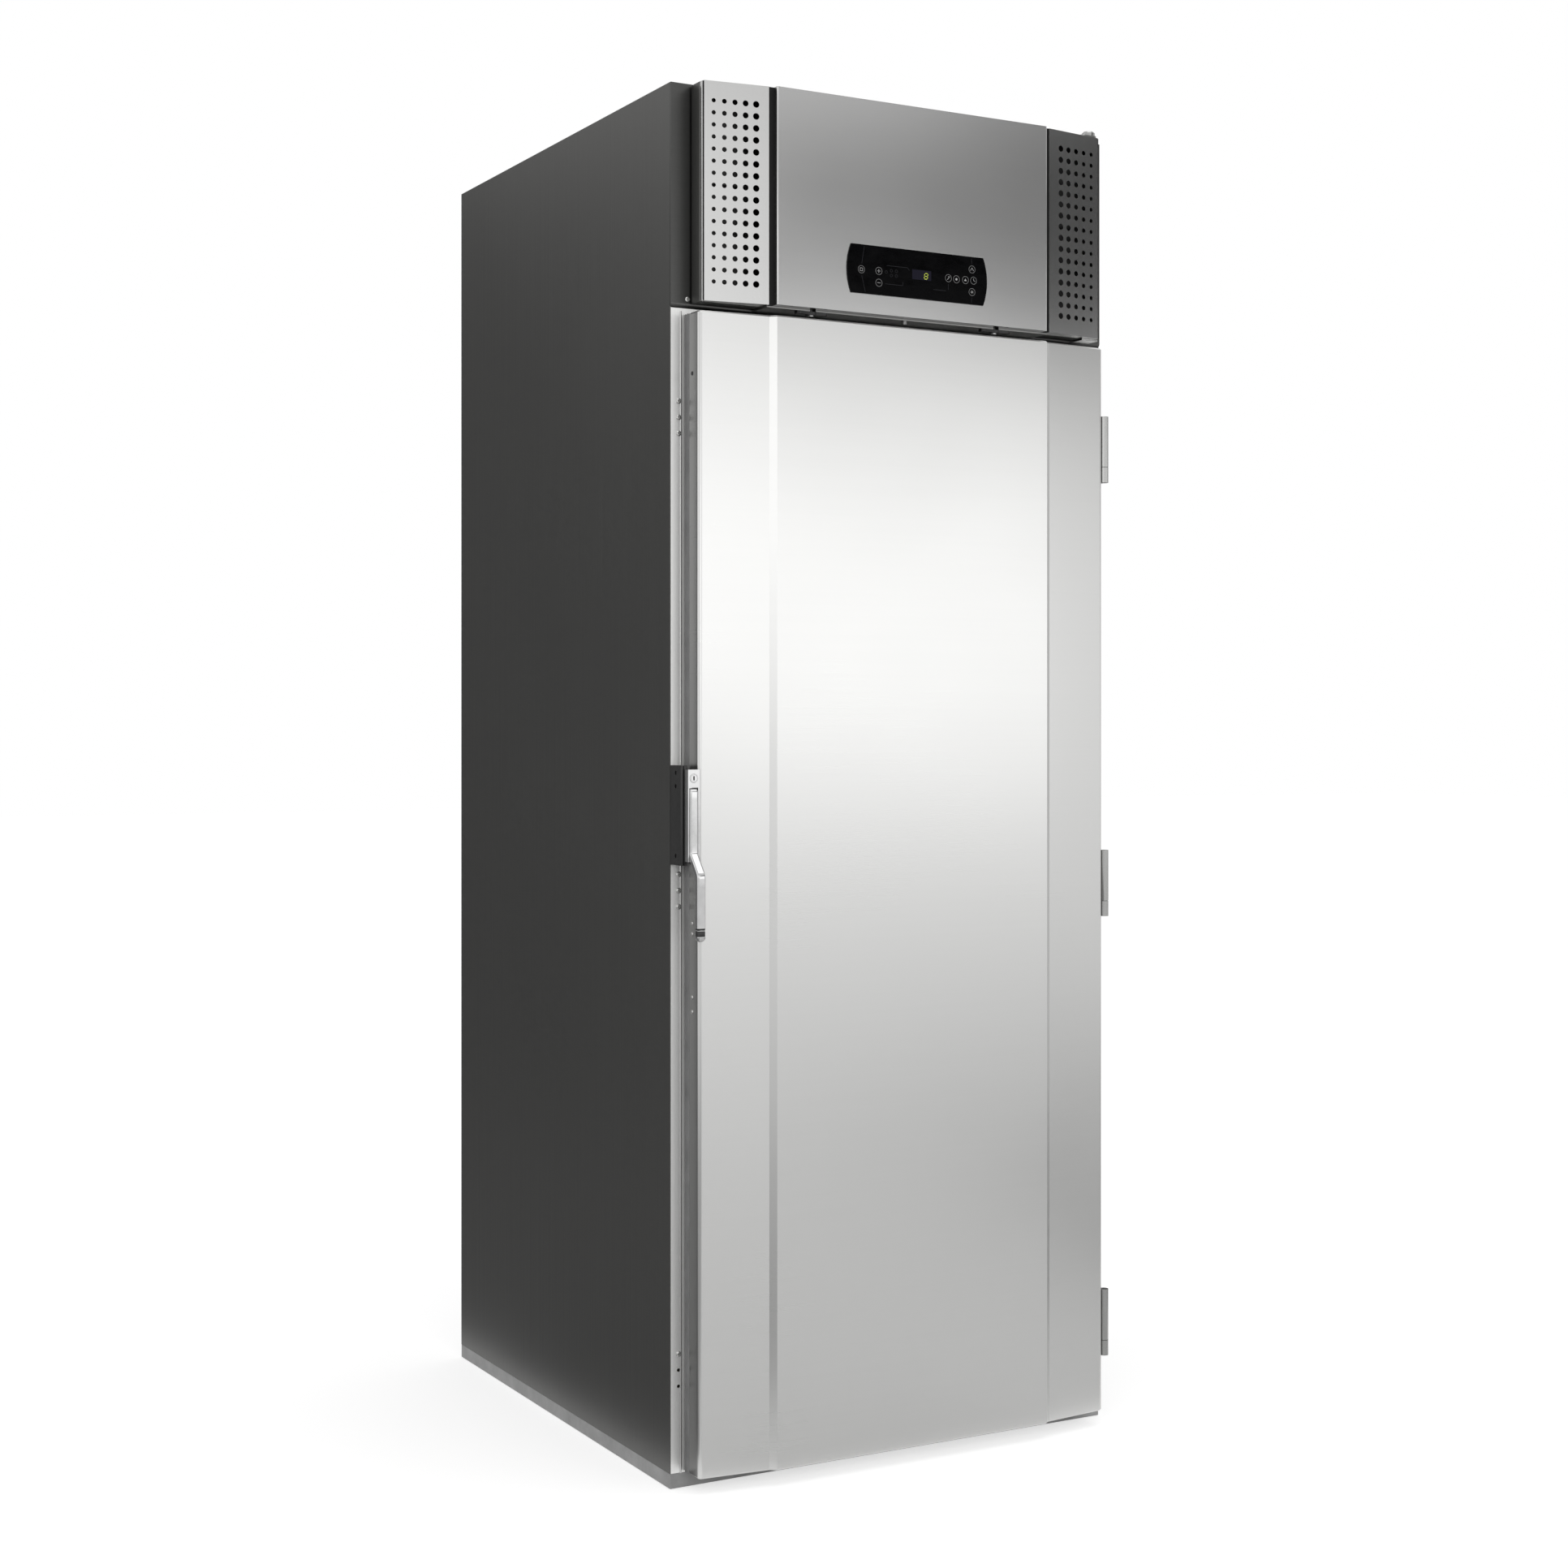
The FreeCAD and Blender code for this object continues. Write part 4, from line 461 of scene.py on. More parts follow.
def settle(obj, sharp):
    """Applies the modifiers, then marks the sharp edges of the result."""
    graph = bpy.context.evaluated_depsgraph_get()
    mesh = bpy.data.meshes.new_from_object(obj.evaluated_get(graph))
    obj.modifiers.clear()
    obj.data = mesh
    mesh.set_sharp_from_angle(angle=math.radians(sharp))


# ---------------------------------------------------------------- screws
def cross_recess(radius, angle):
    """Depth of a cross recess at a place on a screw's head."""
    depth, half_width, reach = 0.0011, 0.00075, 0.0027
    x = abs(radius * math.cos(angle))
    y = abs(radius * math.sin(angle))
    return depth if min(x, y) < half_width and radius < reach else 0.0


def pan_head(bm, seat, outward):
    """A pan-head screw seen from outside."""
    profile = profile_mm((4.6, 0), (4.6, 0.9), (4.3, 1.5), (3.7, 2), (2.8, 2.35), (2.2, 2.4),
                         (1.5, 2.4), (0.8, 2.4), (0, 2.4))
    lathe(bm, seat, outward, profile, 32, cross_recess)


FRONT = (0, -1, 0)
REAR = (0, 1, 0)
UP = (0, 0, 1)
POST_FRONT, LEAF_FRONT, UPPER_PANEL_FRONT, BACK = -466.5, -469.5, -469.5, 466.5
ROOF = 2300.0
BRACKET_SHEET = 3.0
SCREW_STEP = 26.5
post_levels = [middle + step for middle in (1753, 978, 193)
               for step in (SCREW_STEP, 0, -SCREW_STEP)]
bm = bmesh.new()
for z in post_levels[:-2]:    # the left post's lowest group has one screw and two open holes
    pan_head(bm, mm(-416.4, POST_FRONT, z), FRONT)
for z in post_levels:
    pan_head(bm, mm(421, LEAF_FRONT, z), FRONT)
for x, y in ((-401.6, -436.1), (401.6, -344.9), (-401.6, 436.1), (401.6, 436.1)):
    pan_head(bm, mm(x, y, ROOF), UP)
for x in (-401.6, 408):
    pan_head(bm, mm(x, UPPER_PANEL_FRONT, 1946.5), FRONT)
for x in (-401.6, 401.6):
    for z in (150, 2240):
        pan_head(bm, mm(x, BACK, z), REAR)
for x in (374, 392):
    pan_head(bm, mm(x, -421.5, ROOF + BRACKET_SHEET), UP)
make("cabinet_pan_screws", bm, "screw_steel", "cabinet", ["cabinet_screws"])


# ---------------------------------------------------------------- grilles of the machine cover
COVER_LOW, COVER_HIGH = 1939.0, 2297.0
FACET_Y = -514.5          # a facet's outer edge, and how far its inner edge stands in front of that
FACET_RISE = 16.0
RETURN_Y = -504.5         # where the folded returns end
HOLE_COLUMNS, HOLE_ROWS = 5, 16
COLUMN_PITCH, ROW_PITCH = 18.2, 19.65
FIRST_COLUMN = 16.3       # from the facet's outer edge
SMALL_HOLE, LARGE_HOLE = 7.1, 10.8
SHEET = 1.5
SHARP = 30                # folds steeper than this many degrees stay crisp
SHADE_BAR_RADIUS = 1.2


def hole_field(bm, place, columns, rows, edges_u, edges_v):
    """A sheet with a grid of round holes; columns are (u, radius) and rows are v."""
    segments = 24
    cuts_u = [edges_u[0]] + [(a[0] + b[0]) / 2 for a, b in zip(columns, columns[1:])] + [edges_u[1]]
    cuts_v = [edges_v[0]] + [(a + b) / 2 for a, b in zip(rows, rows[1:])] + [edges_v[1]]
    for column, (u, radius) in enumerate(columns):
        for row, v in enumerate(rows):
            inner = []
            outer = []
            for index in range(segments):
                angle = 2 * math.pi * index / segments
                c, s = math.cos(angle), math.sin(angle)
                reach = max(abs(c), abs(s))
                du, dv = c / reach, s / reach
                u_out = u + du * ((cuts_u[column + 1] - u) if du > 0 else (u - cuts_u[column]))
                v_out = v + dv * ((cuts_v[row + 1] - v) if dv > 0 else (v - cuts_v[row]))
                inner.append(bm.verts.new(place(u + c * radius, v + s * radius)))
                outer.append(bm.verts.new(place(u_out, v_out)))
            for index in range(segments):
                after = (index + 1) % segments
                bm.faces.new((inner[index], outer[index], outer[after], inner[after]))
    bmesh.ops.remove_doubles(bm, verts=bm.verts, dist=SAME_PLACE)


def grille(name, outer_x, inner_x, node):
    """Swept facet with graded round holes and folded returns."""
    side = 1 if inner_x > outer_x else -1
    width = abs(inner_x - outer_x)
    middle = (COVER_LOW + COVER_HIGH) / 2
    growth = (LARGE_HOLE - SMALL_HOLE) / (HOLE_COLUMNS - 1)

    def place(u, v):
        return mm(outer_x + side * u, FACET_Y - FACET_RISE * u / width, v)

    def on_rim(vert):
        x, z = vert.co.x / MM, vert.co.z / MM
        ends = (x - outer_x, x - inner_x, z - COVER_LOW, z - COVER_HIGH)
        return min(abs(end) for end in ends) < 0.01

    columns = [(FIRST_COLUMN + COLUMN_PITCH * i, (SMALL_HOLE + growth * i) / 2)
               for i in range(HOLE_COLUMNS)]
    rows = [middle + (i - (HOLE_ROWS - 1) / 2) * ROW_PITCH for i in range(HOLE_ROWS)]
    bm = bmesh.new()
    hole_field(bm, place, columns, rows, (0.0, width), (COVER_LOW, COVER_HIGH))
    border = [e for e in bm.edges
              if len(e.link_faces) == 1 and all(on_rim(vert) for vert in e.verts)]
    made = bmesh.ops.extrude_edge_only(bm, edges=border)["geom"]
    for vert in (g for g in made if isinstance(g, bmesh.types.BMVert)):
        vert.co.y = RETURN_Y * MM
    obj = make(name, bm, "grille_steel", "machine_cover", [node], SHARP,
               faces_front=True)
    shell = obj.modifiers.new("sheet", "SOLIDIFY")
    shell.thickness = SHEET * MM
    shell.offset = -1.0
    shell.use_even_offset = True
    settle(obj, SHARP)


grille("left_grille_sheet", -393.8, -282.5, "cover_left_grille")
grille("right_grille_sheet", 394.8, 277.5, "cover_right_grille")


def upright(bm, outline, low, high, open_back=False):
    """An upright bar between two levels from (x, y) points."""
    ends = [[bm.verts.new(mm(x, y, z)) for x, y in outline] for z in (low, high)]
    for k in range(len(outline) - open_back):
        n = (k + 1) % len(outline)
        bm.faces.new((ends[0][k], ends[0][n], ends[1][n], ends[1][k]))
    bm.faces.new(ends[0])
    bm.faces.new(ends[1])


def rim(name, outer_x, side):
    """Rolled edge that closes the cover's end beside its grille."""
    steps, wide, deep = 8, 1.6, 6.6
    outline = [(0.0, -504.6)]
    for k in range(steps + 1):
        a = math.radians(90 * k / steps)
        outline.append((wide * (1 - math.cos(a)), -505.0 - deep * math.sin(a)))
    outline += [(2.2, -511.5), (2.4, -511.0), (2.4, -504.6)]
    bm = bmesh.new()
    upright(bm, [(outer_x + side * x, y) for x, y in outline], COVER_LOW + 0.4, COVER_HIGH - 0.4)
    make(name, bm, "grille_steel", "machine_cover", (), 40)


rim("cover_left_rim", -396.0, 1)
rim("cover_right_rim", 397.0, -1)
# painted shade: near-black bars along the joint of each rim and its grille sheet stand for the shade
# in that groove
bm = bmesh.new()
shade_bar_levels = (COVER_LOW + 1, 2060, 2180, COVER_HIGH - 1)
for x in (-394.8, 395.8):
    tube(bm, [mm(x, -512.9, z) for z in shade_bar_levels], SHADE_BAR_RADIUS * MM, 10)
make("cover_groove_shade_bars", bm, "matt_black", "machine_cover", (), 50)

# the fold on the left post's front, which catches the light
lip = [(-414.2, -466.4), (-414.0, -467.0), (-413.4, -467.5), (-412.4, -467.7), (-411.4, -467.5),
       (-410.8, -467.0), (-410.6, -466.4)]
bm = bmesh.new()
upright(bm, lip, 24.0, 1927.0, open_back=True)
make("left_jamb_fold", bm, "jamb_lip", "cabinet", (), 60)


# ---------------------------------------------------------------- door seal
def seal_loop(bm, left, right, low, high, profile):
    """Sweeps (inset, y) profile points round the door's edge with mitred corners."""
    corners = ((left, low, 1, 1), (right, low, -1, 1), (right, high, -1, -1), (left, high, 1, -1))
    rings = []
    for cx, cz, sx, sz in corners:
        rings.append([bm.verts.new(mm(cx + sx * inset, y, cz + sz * inset))
                      for inset, y in profile])
    for index, ring in enumerate(rings):
        following = rings[(index + 1) % 4]
        for k in range(len(profile)):
            n = (k + 1) % len(profile)
            bm.faces.new((ring[k], ring[n], following[n], following[k]))


bellows = [(2, -486.5), (2, -483), (0.6, -481.5), (0.2, -479), (0.6, -476.5), (2.4, -475),
           (2.4, -474), (0.8, -472.8), (0.3, -470.5), (0.8, -468), (3, -466.9), (17, -466.9),
           (19.2, -468), (19.7, -470.5), (19.2, -472.8), (17.6, -474), (17.6, -475), (19.4, -476.5),
           (19.8, -479), (19.4, -481.5), (18, -483), (18, -486.5), (13, -486.5), (12, -484.5),
           (8, -484.5), (7, -486.5)]
DOOR_LEFT, DOOR_RIGHT, DOOR_LOW, DOOR_HIGH = -406.5, 401.5, 26.0, 1922.0
bm = bmesh.new()
seal_loop(bm, DOOR_LEFT, DOOR_RIGHT, DOOR_LOW, DOOR_HIGH, bellows)
make("magnetic_door_seal", bm, "gasket", "door", ["door_gasket"], 50)


# ---------------------------------------------------------------- fan guards
WIRE = 1.45           # half the wire's thickness
GUARD_RINGS, GUARD_SPOKES = 8, 8
RING_STEP = 22.5
bm = bmesh.new()
guard_low, guard_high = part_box("evaporator_fan_guards")
guard_y = (guard_low.y + guard_high.y) / 2
guard_reach = (guard_high.x - guard_low.x) / 2
for node in ("evaporator_fan_lower", "evaporator_fan_upper"):
    low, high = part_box(node)
    level = (low.z + high.z) / 2
    middle = Vector((0, guard_y, level))
    radii = [guard_reach - (WIRE + RING_STEP * ring) * MM for ring in range(GUARD_RINGS)]
    for ring, radius in enumerate(radii):
        count = 72 if ring < 4 else 40
        turns = [2 * math.pi * k / count for k in range(count)]
        circle = [middle + Vector((math.cos(turn), 0, math.sin(turn))) * radius for turn in turns]
        tube(bm, circle, WIRE * MM, 6, closed=True)
    for spoke in range(GUARD_SPOKES):
        angle = math.pi * (2 * spoke + 1) / GUARD_SPOKES
        run = Vector((math.cos(angle), 0, math.sin(angle)))
        inner = middle + run * radii[-1]
        outer = middle + run * radii[0]
        tube(bm, [inner, (inner + outer) / 2, outer], WIRE * MM, 6)
make("fan_wire_guards", bm, "screw_steel", "fan_panel",
     ["evaporator_fan_guards"], 50)


# ---------------------------------------------------------------- control glass
GLASS_Y = -541.5
RAISED = 0.12          # how far a mark stands on the glass
PEN, THIN_PEN = 0.7, 0.6
CABINET_LEFT = -432.0  # the left side, from which the marks were measured


def flat_outline(bm, points, depth=RAISED):
    """A thin raised mark in the glass's plane from (x, z) points."""
    front = [bm.verts.new(mm(x, GLASS_Y - depth, z)) for x, z in points]
    back = [bm.verts.new(mm(x, GLASS_Y, z)) for x, z in points]
    bm.faces.new(front)
    bm.faces.new(back)
    for index in range(len(points)):
        after = (index + 1) % len(points)
        bm.faces.new((front[index], front[after], back[after], back[index]))


def flat_ring(bm, x, z, outer, inner):
    """A thin printed ring."""
    segments = 40
    turns = [2 * math.pi * k / segments for k in range(segments)]
    front = GLASS_Y - RAISED
    rows = []
    for radius, y in ((outer, GLASS_Y), (outer, front), (inner, front), (inner, GLASS_Y)):
        rows.append([bm.verts.new(mm(x + radius * math.cos(turn), y, z + radius * math.sin(turn)))
                     for turn in turns])
    for a, b in zip(rows, rows[1:] + rows[:1]):
        for k in range(segments):
            n = (k + 1) % segments
            bm.faces.new((a[k], a[n], b[n], b[k]))


def stroke(bm, x0, z0, x1, z1, width=PEN, depth=RAISED):
    """A straight printed line."""
    run = Vector((x1 - x0, z1 - z0)).normalized()
    side = Vector((-run.y, run.x)) * width / 2
    flat_outline(bm, [(x0 + side.x, z0 + side.y), (x0 - side.x, z0 - side.y),
                      (x1 - side.x, z1 - side.y), (x1 + side.x, z1 + side.y)], depth)


def from_left(x):
    """The place of an x that was measured from the cabinet's left side."""
    return x + CABINET_LEFT


keys = [(319.4, 2011, "square"), (353.4, 2011.4, "plus"), (353.6, 1991.6, "minus"),
        (492.2, 2012, "slash"), (508.6, 2011.6, "dot"), (526.9, 2012, "up"),
        (543.6, 2012.5, "clock"), (540.4, 2031.4, "peak"), (540.4, 1992.6, "star")]
bm = bmesh.new()
for x, z, _ in keys:
    flat_ring(bm, from_left(x), z, 6.6, 5.8)
make("control_key_rings", bm, "ring_ink", "machine_cover")

bm = bmesh.new()
for x, z, symbol in keys:
    x = from_left(x)
    if symbol == "plus":
        stroke(bm, x - 3.2, z, x + 3.2, z)
        stroke(bm, x, z - 3.2, x, z + 3.2)
    elif symbol == "minus":
        stroke(bm, x - 3.2, z, x + 3.2, z)
    elif symbol == "slash":
        stroke(bm, x - 2.4, z - 2.8, x + 2.4, z + 2.4)
        stroke(bm, x - 0.6, z + 2.6, x + 2.8, z + 2.6)
    elif symbol == "dot":
        flat_ring(bm, x, z, 2.0, 0.2)
    elif symbol == "up":
        flat_outline(bm, [(x - 2.8, z - 1.6), (x + 2.8, z - 1.6), (x, z + 2.2)])
    elif symbol == "clock":
        stroke(bm, x, z, x, z + 3.6)
        stroke(bm, x, z, x + 3.0, z - 1.2)
    elif symbol == "peak":
        stroke(bm, x - 3, z - 2.2, x, z + 2.8)
        stroke(bm, x, z + 2.8, x + 3, z - 2.2)
    elif symbol == "star":
        for turn in range(3):
            angle = math.pi * turn / 3 + math.pi / 2
            dx, dz = 3.0 * math.cos(angle), 3.0 * math.sin(angle)
            stroke(bm, x - dx, z - dz, x + dx, z + dz, THIN_PEN)
    else:
        corners = [(x + sx * 2.4, z + sz * 2.4) for sx, sz in ((-1, -1), (1, -1), (1, 1), (-1, 1))]
        for near, far in zip(corners, corners[1:] + corners[:1]):
            stroke(bm, *near, *far, THIN_PEN)
make("control_keys", bm, "ink", "machine_cover")

guide_lines = [(325, 2050, 320, 2021), (320, 2001, 327, 1974), (539.5, 2050, 540, 2041),
               (540, 1983, 539, 1974), (369, 2022, 410, 2022), (410, 2022, 414, 2018),
               (366, 1991, 401, 1991), (401, 1991, 401, 1997), (462, 1990, 487, 1990),
               (492, 1992, 492, 2002)]
small_lamps = [(368, 2011), (378, 2014), (388, 2014), (378, 2006), (388, 2006)]
bm = bmesh.new()
for x0, z0, x1, z1 in guide_lines:
    stroke(bm, from_left(x0), z0, from_left(x1), z1, 0.8)
for x, z in small_lamps:
    flat_ring(bm, from_left(x), z, 2.6, 1.9)
make("control_marks", bm, "dim_ink", "machine_cover")

left, right = from_left(419.5), from_left(457.5)
low, high = 2004, 2020.5
bm = bmesh.new()
flat_outline(bm, [(left, low), (right, low), (right, high), (left, high)], 0.06)
make("display_window", bm, "window", "machine_cover")

# one seven-segment digit; its top leans to the right, and gaps part its segments
lean, gap = 1.2, 0.9
x0, x1 = from_left(443.2), from_left(449.8)
z0, z1, z2 = 2006.2, 2011.0, 2015.8
bars = [((x0, z), (x1, z)) for z in (z0, z1, z2)]
bars += [((x, low), (x, high)) for x in (x0, x1) for low, high in ((z0, z1), (z1, z2))]
bm = bmesh.new()
for (a, b), (c, d) in bars:
    run = Vector((c - a, d - b)).normalized() * gap
    slant0, slant1 = lean * (b - z0) / (z2 - z0), lean * (d - z0) / (z2 - z0)
    stroke(bm, a + run.x + slant0, b + run.y, c - run.x + slant1, d - run.y, 0.85, 0.16)
make("display_digit", bm, "digit", "machine_cover")


# ---------------------------------------------------------------- latch
LEVER_X = -416.75
HALF_WIDE = 7.45
HALF_DEEP = 6.5
GRIP_Y, PIVOT_Y = -546.0, -519.0       # the lever's planes below and above its knee
KNEE_LOW, KNEE_HIGH = 1006.0, 1039.0
GRIP_END = 908.8                       # where the rounded end starts
LEVER_TOP = 1140.0


def loft(bm, stations):
    """A bar of rounded rectangles from (y, z, slope, half width, half depth) stations."""
    corner, steps = 3.6, 5
    rings = []
    for y, z, slope, wide, deep in stations:
        radius = min(corner, wide * 0.95, deep * 0.95)
        across = (math.cos(slope), math.sin(slope))
        ring = []
        for sx, sd, start in ((1, -1, -90), (1, 1, 0), (-1, 1, 90), (-1, -1, 180)):
            for k in range(steps + 1):
                angle = math.radians(start + 90 * k / steps)
                px = sx * (wide - radius) + radius * math.cos(angle)
                pd = sd * (deep - radius) + radius * math.sin(angle)
                ring.append(bm.verts.new(mm(LEVER_X + px, y + pd * across[0], z + pd * across[1])))
        rings.append(ring)
    for low, high in zip(rings, rings[1:]):
        for k in range(len(low)):
            n = (k + 1) % len(low)
            bm.faces.new((low[k], low[n], high[n], high[k]))
    bm.faces.new(rings[0])
    bm.faces.new(rings[-1])


def lever_line():
    """Middle line of the lever as (y, z, slope), from the grip's band to its top."""
    lean = math.atan2(PIVOT_Y - GRIP_Y, KNEE_HIGH - KNEE_LOW)
    radius, steps = 12.0, 6
    cut = radius * math.tan(lean / 2)
    line = [(GRIP_Y, z, 0.0) for z in (922, 930, 950, 970, 985)]
    for k in range(steps + 1):
        a = lean * k / steps
        line.append((GRIP_Y + radius * (1 - math.cos(a)),
                     KNEE_LOW - cut + radius * math.sin(a), -a))
    for k in range(steps + 1):
        a = lean * (1 - k / steps)
        line.append((PIVOT_Y - radius * (1 - math.cos(a)),
                     KNEE_HIGH + cut - radius * math.sin(a), -a))
    return line + [(PIVOT_Y, z, 0.0) for z in (1055, 1080, 1110, 1130, LEVER_TOP)]


def collar(bm, *rows):
    """A form round the lever's grip from (z, inset) rows."""
    loft(bm, [(GRIP_Y, z, 0.0, HALF_WIDE - inset, HALF_DEEP - inset) for z, inset in rows])


bm = bmesh.new()
stations = [(y, z, slope, HALF_WIDE, HALF_DEEP) for y, z, slope in lever_line()]
for turn in (15, 30, 45, 60, 72, 82):
    a = math.radians(turn)
    stations.append((PIVOT_Y, LEVER_TOP + HALF_DEEP * math.sin(a), 0.0,
                     HALF_WIDE, HALF_DEEP * math.cos(a)))
loft(bm, stations)
make("lever_bar", bm, "chrome", "lever", ["latch_lever"], 50)

bm = bmesh.new()
collar(bm, (908.6, 0.9), (909.4, 0.3), (916.2, 0.3), (917.0, 0.7), (917.4, 0.7), (918.4, 0.7),
       (919.2, 0.7), (920.0, 0.3), (921.4, 0.3), (922.2, 0.9))
make("lever_grip_band", bm, "black_plastic", "lever", (), 40)

bm = bmesh.new()
collar(bm, (917.5, 0.5), (917.9, 0.1), (918.7, 0.1), (919.1, 0.5))
make("lever_band_ring", bm, "chrome", "lever", (), 40)

bm = bmesh.new()
# the rounded end narrows like a superellipse and stops a little before its tip
cap = []
fullness = 2.4
for k in range(8):
    share = k / 7.4
    size = (1 - share ** fullness) ** (1 / fullness)
    cap.append((GRIP_Y, GRIP_END - 8.8 * share, 0.0, HALF_WIDE * size, HALF_DEEP * size))
loft(bm, cap)
make("lever_end_cap", bm, "chrome", "lever", (), 60)

LOCK_Z = 1163.0
LOCK_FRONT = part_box("lock_cylinder")[0].y / MM
SLOT_WIDE, SLOT_TALL = 1.25, 3.7       # half the key slot's sizes


def keyway(angle):
    """Distance from the lock's middle to the edge of its key slot."""
    across = abs(math.cos(angle)) / SLOT_WIDE
    along = abs(math.sin(angle)) / SLOT_TALL
    return (across ** 4 + along ** 4) ** -0.25


def lock_rings(bm, *rows):
    """Rings round the lock's axis from (radius, depth) rows; radius 0 is the key slot's outline."""
    count = 40
    rings = []
    for radius, depth in rows:
        ring = []
        for k in range(count):
            angle = 2 * math.pi * k / count
            r = radius or keyway(angle)
            ring.append(bm.verts.new(mm(LEVER_X + r * math.cos(angle), LOCK_FRONT + depth,
                                        LOCK_Z + r * math.sin(angle))))
        rings.append(ring)
    for low, high in zip(rings, rings[1:]):
        for k in range(count):
            n = (k + 1) % count
            bm.faces.new((low[k], low[n], high[n], high[k]))
    return rings


bm = bmesh.new()
lock_rings(bm, (7.2, 12), (7.2, 0.5), (6.8, 0), (6.1, 0), (5.9, 0.5), (5.4, 0.5), (5.2, 0),
           (0, 0), (0, 0.6))
make("lock_face", bm, "chrome", "lock", ["lock_cylinder"], 40)

bm = bmesh.new()
rings = lock_rings(bm, (0, 0.5), (0, 6))
bm.faces.new(rings[-1])
make("lock_keyway", bm, "black_plastic", "lock", (), 40)


# ---------------------------------------------------------------- small fittings
LEFT = (-1, 0, 0)
DOWN = (0, 0, -1)
EDGE_Y = -496.5          # the line of fittings on the door's left edge
rivet = profile_mm((3.6, 0), (3.6, 0.35), (3.2, 0.8), (2.2, 1.15), (1.1, 1.3), (0, 1.35))
plug = profile_mm((3.4, 0), (3.4, 0.5), (2.9, 0.7), (2.3, 0.6), (2.0, 0.15), (0, 0.1))
nut = profile_mm((5.4, 0), (5.4, 0.3), (5.0, 0.6), (4.4, 0.7), (4.4, 2.2), (4.1, 2.8), (3.2, 3.3),
                 (1.6, 3.6), (0, 3.7))
bm = bmesh.new()
for z in (925.8, 908.6, 805.5, 781.8):
    lathe(bm, mm(DOOR_LEFT, EDGE_Y, z), LEFT, rivet, 24)
make("door_edge_rivets", bm, "screw_steel", "door", (), 50)

bm = bmesh.new()
lathe(bm, mm(DOOR_LEFT, EDGE_Y, 1821.6), LEFT, plug, 24)
make("door_edge_plug", bm, "black_plastic", "door", (), 50)

for name, body, x in (("left_knob_nut", "left_knob", -195.0),
                      ("right_knob_nut", "right_knob", 171.0)):
    bm = bmesh.new()
    lathe(bm, mm(x, -515.5, 1931.2), DOWN, nut, 24)
    make(name, bm, "chrome", body, (), 35)

softened = {
    0.3: ("upper_front_panel",),
    0.4: ("cover_case", "control_glass"),
    0.5: ("cover_centre_panel",),
    0.6: ("latch_keeper", "door_hinge_leaves", "frame_hinge_leaves", "cover_hinge_brackets"),
    0.8: ("latch_housing", "wing_knob_left", "wing_knob_right"),
    1.5: ("base_plinth",),
    2.2: ("door_skin",),
}
for width, names in softened.items():
    for name in names:
        soften(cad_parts[name], width * MM)


# ---------------------------------------------------------------- stage
def bare_tree(owner):
    """The node tree of a world or material, emptied."""
    owner.use_nodes = True
    for existing in list(owner.node_tree.nodes):
        owner.node_tree.nodes.remove(existing)
    return owner.node_tree


def grid(name, size, segments):
    """A flat square mesh that reaches size from its middle."""
    bm = bmesh.new()
    bmesh.ops.create_grid(bm, x_segments=segments, y_segments=segments, size=size)
    mesh = bpy.data.meshes.new(name)
    bm.to_mesh(mesh)
    bm.free()
    return mesh


def aimed(name, data, place, aim, axis):
    """An object at a place with one of its axes aimed at a point."""
    obj = bpy.data.objects.new(name, data)
    obj.location = place
    obj.rotation_euler = (Vector(aim) - Vector(place)).to_track_quat(axis, "Y").to_euler()
    scene.collection.objects.link(obj)
    return obj


def light_path_mix(tree, off, on):
    """Shader that is on for camera, glossy and transmission rays and off for the rest."""
    path = tree.nodes.new("ShaderNodeLightPath")
    total = path.outputs["Is Camera Ray"]
    for name in ("Is Glossy Ray", "Is Transmission Ray"):
        maximum = tree.nodes.new("ShaderNodeMath")
        maximum.operation = "MAXIMUM"
        tree.links.new(total, maximum.inputs[0])
        tree.links.new(path.outputs[name], maximum.inputs[1])
        total = maximum.outputs[0]
    mix = tree.nodes.new("ShaderNodeMixShader")
    tree.links.new(total, mix.inputs[0])
    tree.links.new(off.outputs[0], mix.inputs[1])
    tree.links.new(on.outputs[0], mix.inputs[2])
    return mix


world = bpy.data.worlds.new("studio")
scene.world = world
tree = bare_tree(world)
ambient = tree.nodes.new("ShaderNodeBackground")
seen = tree.nodes.new("ShaderNodeBackground")
for background, strength in ((ambient, 0.75), (seen, 1.0)):
    background.inputs["Color"].default_value = (1, 1, 1, 1)
    background.inputs["Strength"].default_value = strength
out = tree.nodes.new("ShaderNodeOutputWorld")
tree.links.new(light_path_mix(tree, ambient, seen).outputs[0], out.inputs["Surface"])

floor = bpy.data.objects.new("floor", grid("floor", 30.0, 8))
floor.location = (0, 0, -0.0005)
scene.collection.objects.link(floor)
floor_material = bpy.data.materials.new("pale_floor")
tree = bare_tree(floor_material)
matte = tree.nodes.new("ShaderNodeBsdfDiffuse")
matte.inputs["Color"].default_value = (0.55, 0.55, 0.55, 1)
lift = tree.nodes.new("ShaderNodeEmission")
lift.inputs["Strength"].default_value = 0.6
both = tree.nodes.new("ShaderNodeAddShader")
tree.links.new(matte.outputs[0], both.inputs[0])
tree.links.new(lift.outputs[0], both.inputs[1])
out = tree.nodes.new("ShaderNodeOutputMaterial")
tree.links.new(light_path_mix(tree, matte, both).outputs[0], out.inputs["Surface"])
floor.data.materials.append(floor_material)


def lamp(name, place, aim, size, power):
    """A soft rectangular lamp aimed at a point."""
    data = bpy.data.lights.new(name, "AREA")
    data.shape = "RECTANGLE"
    data.size, data.size_y = size
    data.energy = power
    aimed(name, data, place, aim, "-Z")


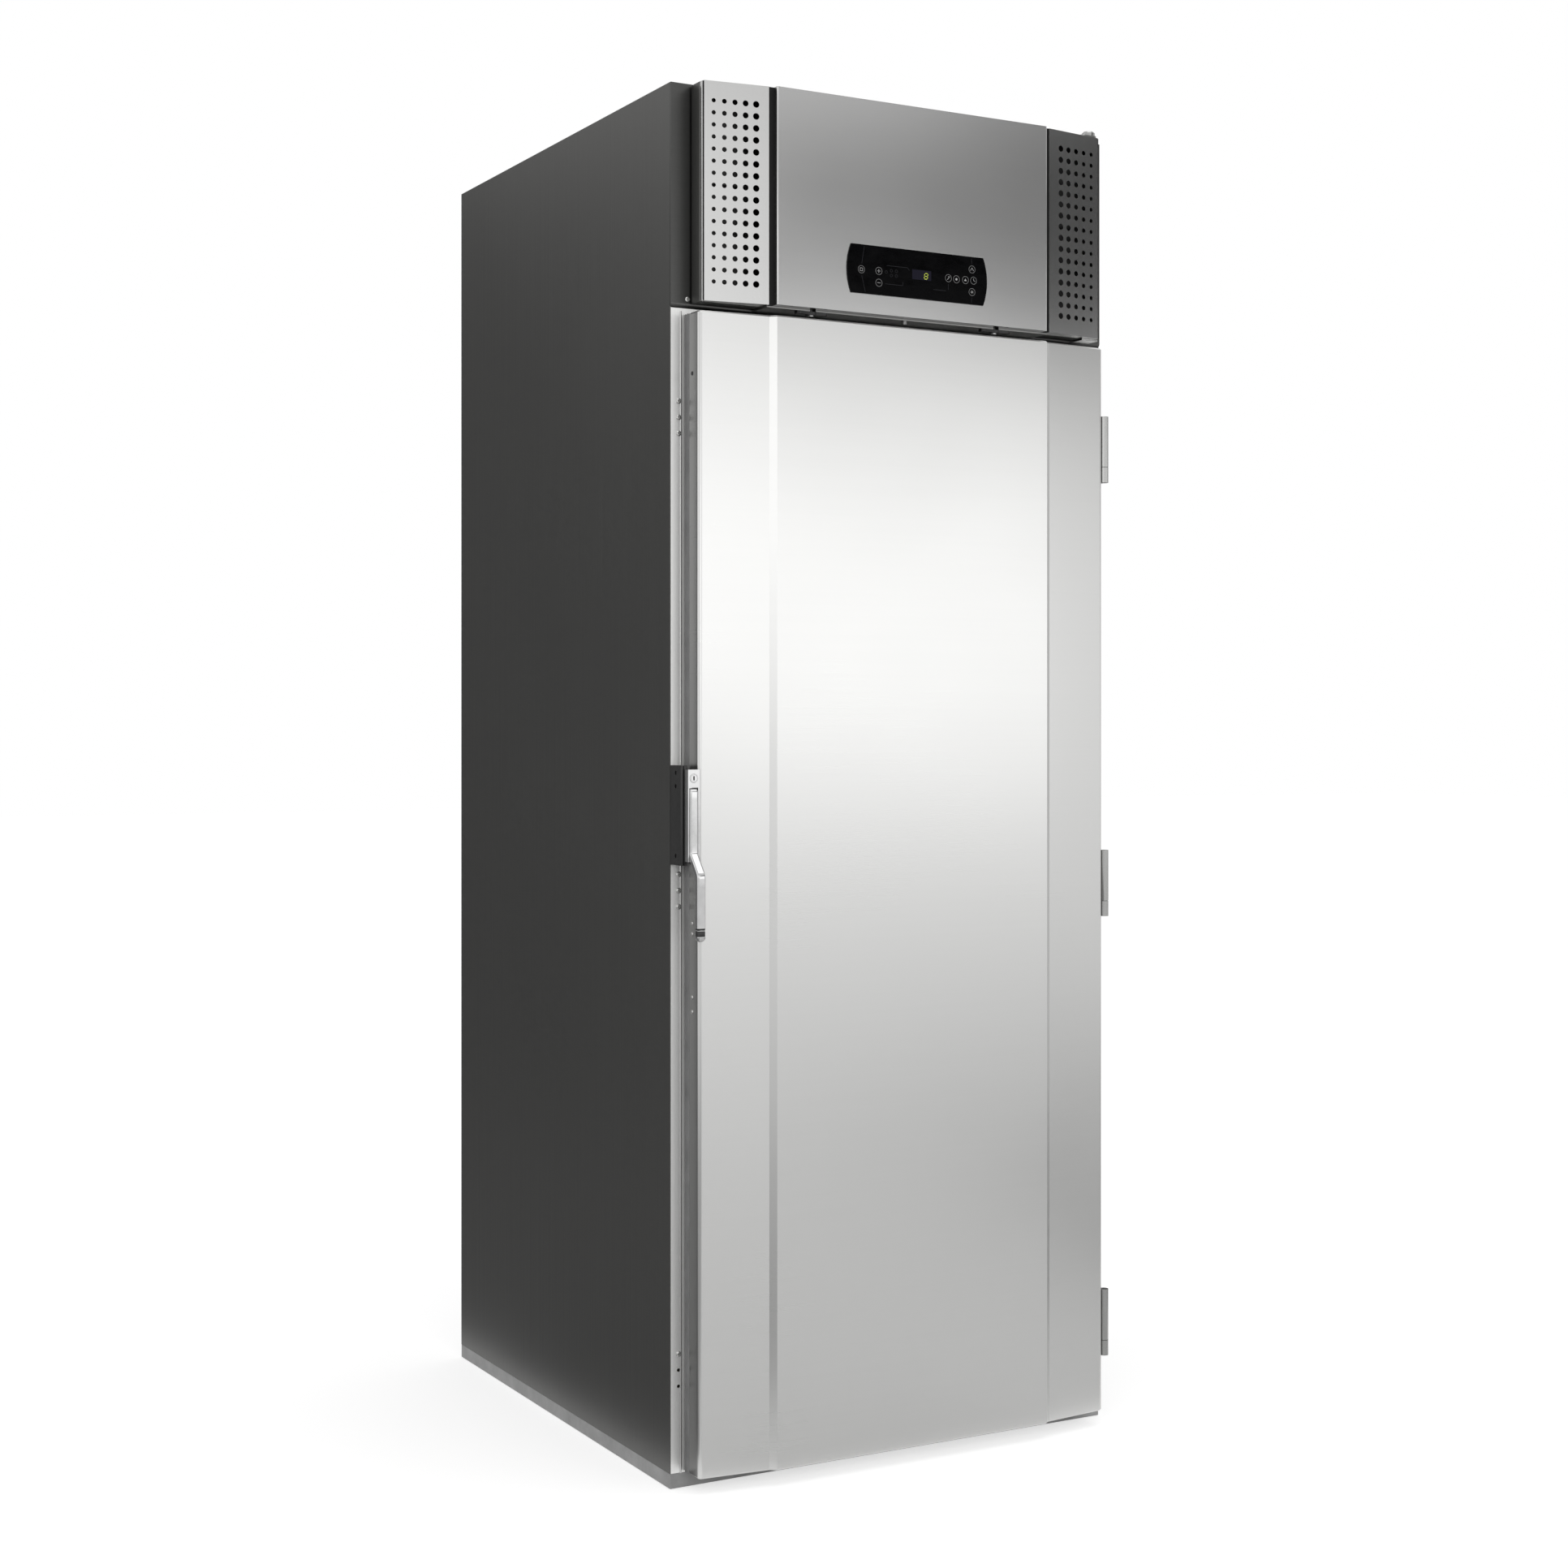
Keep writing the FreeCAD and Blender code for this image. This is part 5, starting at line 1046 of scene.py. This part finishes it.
lamp("front_softbox", (1.7, -4.15, 1.72), (0, -0.5, 1.5), (3.0, 1.45), 13.2)
lamp("left_softbox", (-2.6, -3.3, 2.05), (-0.4, -0.5, 1.4), (1.5, 1.4), 8.4)
lamp("front_fill", (-0.6, -5.2, 2.2), (0, 0, 1.2), (2.6, 2.6), 10.0)
lamp("top_fill", (0.3, -1.2, 4.4), (0, 0, 1.0), (3.0, 3.0), 40.0)
lamp("left_fill", (-4.6, 0.8, 2.2), (0, 0, 1.2), (2.0, 2.6), 12.0)


def card(name, place, aim, size, level):
    """A dark card that only shows in reflections, as used round polished metal."""
    material = bpy.data.materials.new(name)
    material.use_nodes = True
    shader = material.node_tree.nodes["Principled BSDF"]
    shader.inputs["Base Color"].default_value = (level, level, level, 1)
    shader.inputs["Roughness"].default_value = 1.0
    mesh = grid(name, 0.5, 2)
    mesh.materials.append(material)
    obj = aimed(name, mesh, place, aim, "Z")
    obj.scale = (*size, 1)
    obj.visible_camera = False
    obj.visible_diffuse = False
    obj.visible_shadow = False


card("header_card", (2.05, -3.95, 2.98), (0, -0.5, 2.1), (1.7, 0.55), 0.3)
card("right_card", (3.3, -3.18, 3.02), (0.3, -0.5, 2.1), (2.4, 1.1), 0.03)
card("floor_card", (0.6, -2.4, 0.004), (0.6, -2.4, 1.0), (7.0, 3.6), 0.8)
card("right_floor_card", (2.6, -1.9, 0.008), (2.6, -1.9, 1.0), (2.8, 3.0), 0.5)
card("left_floor_card", (-1.75, -2.2, 0.008), (-1.75, -2.2, 1.0), (2.2, 3.0), 0.4)
card("left_card", (-2.0, 2.7, 1.4), (-0.4, 0, 1.2), (3.6, 3.4), 0.3)
card("left_back_floor_card", (-2.2, 1.6, 0.008), (-2.2, 1.6, 1.0), (3.4, 4.4), 0.3)
card("back_card", (2.9, 3.3, 1.4), (0.4, 0, 1.3), (3.6, 3.2), 0.2)

# solved from the photograph's straight edges
camera_data = bpy.data.cameras.new("camera")
camera_data.lens = 54.36
camera_data.sensor_width = 36
camera_data.shift_y = -0.0360
camera = bpy.data.objects.new("camera", camera_data)
camera.location = (-2.1436, -3.9409, 1.245)
camera.rotation_euler = (math.pi / 2, 0, -0.50587)
scene.collection.objects.link(camera)
scene.camera = camera
scene.view_settings.view_transform = "Standard"
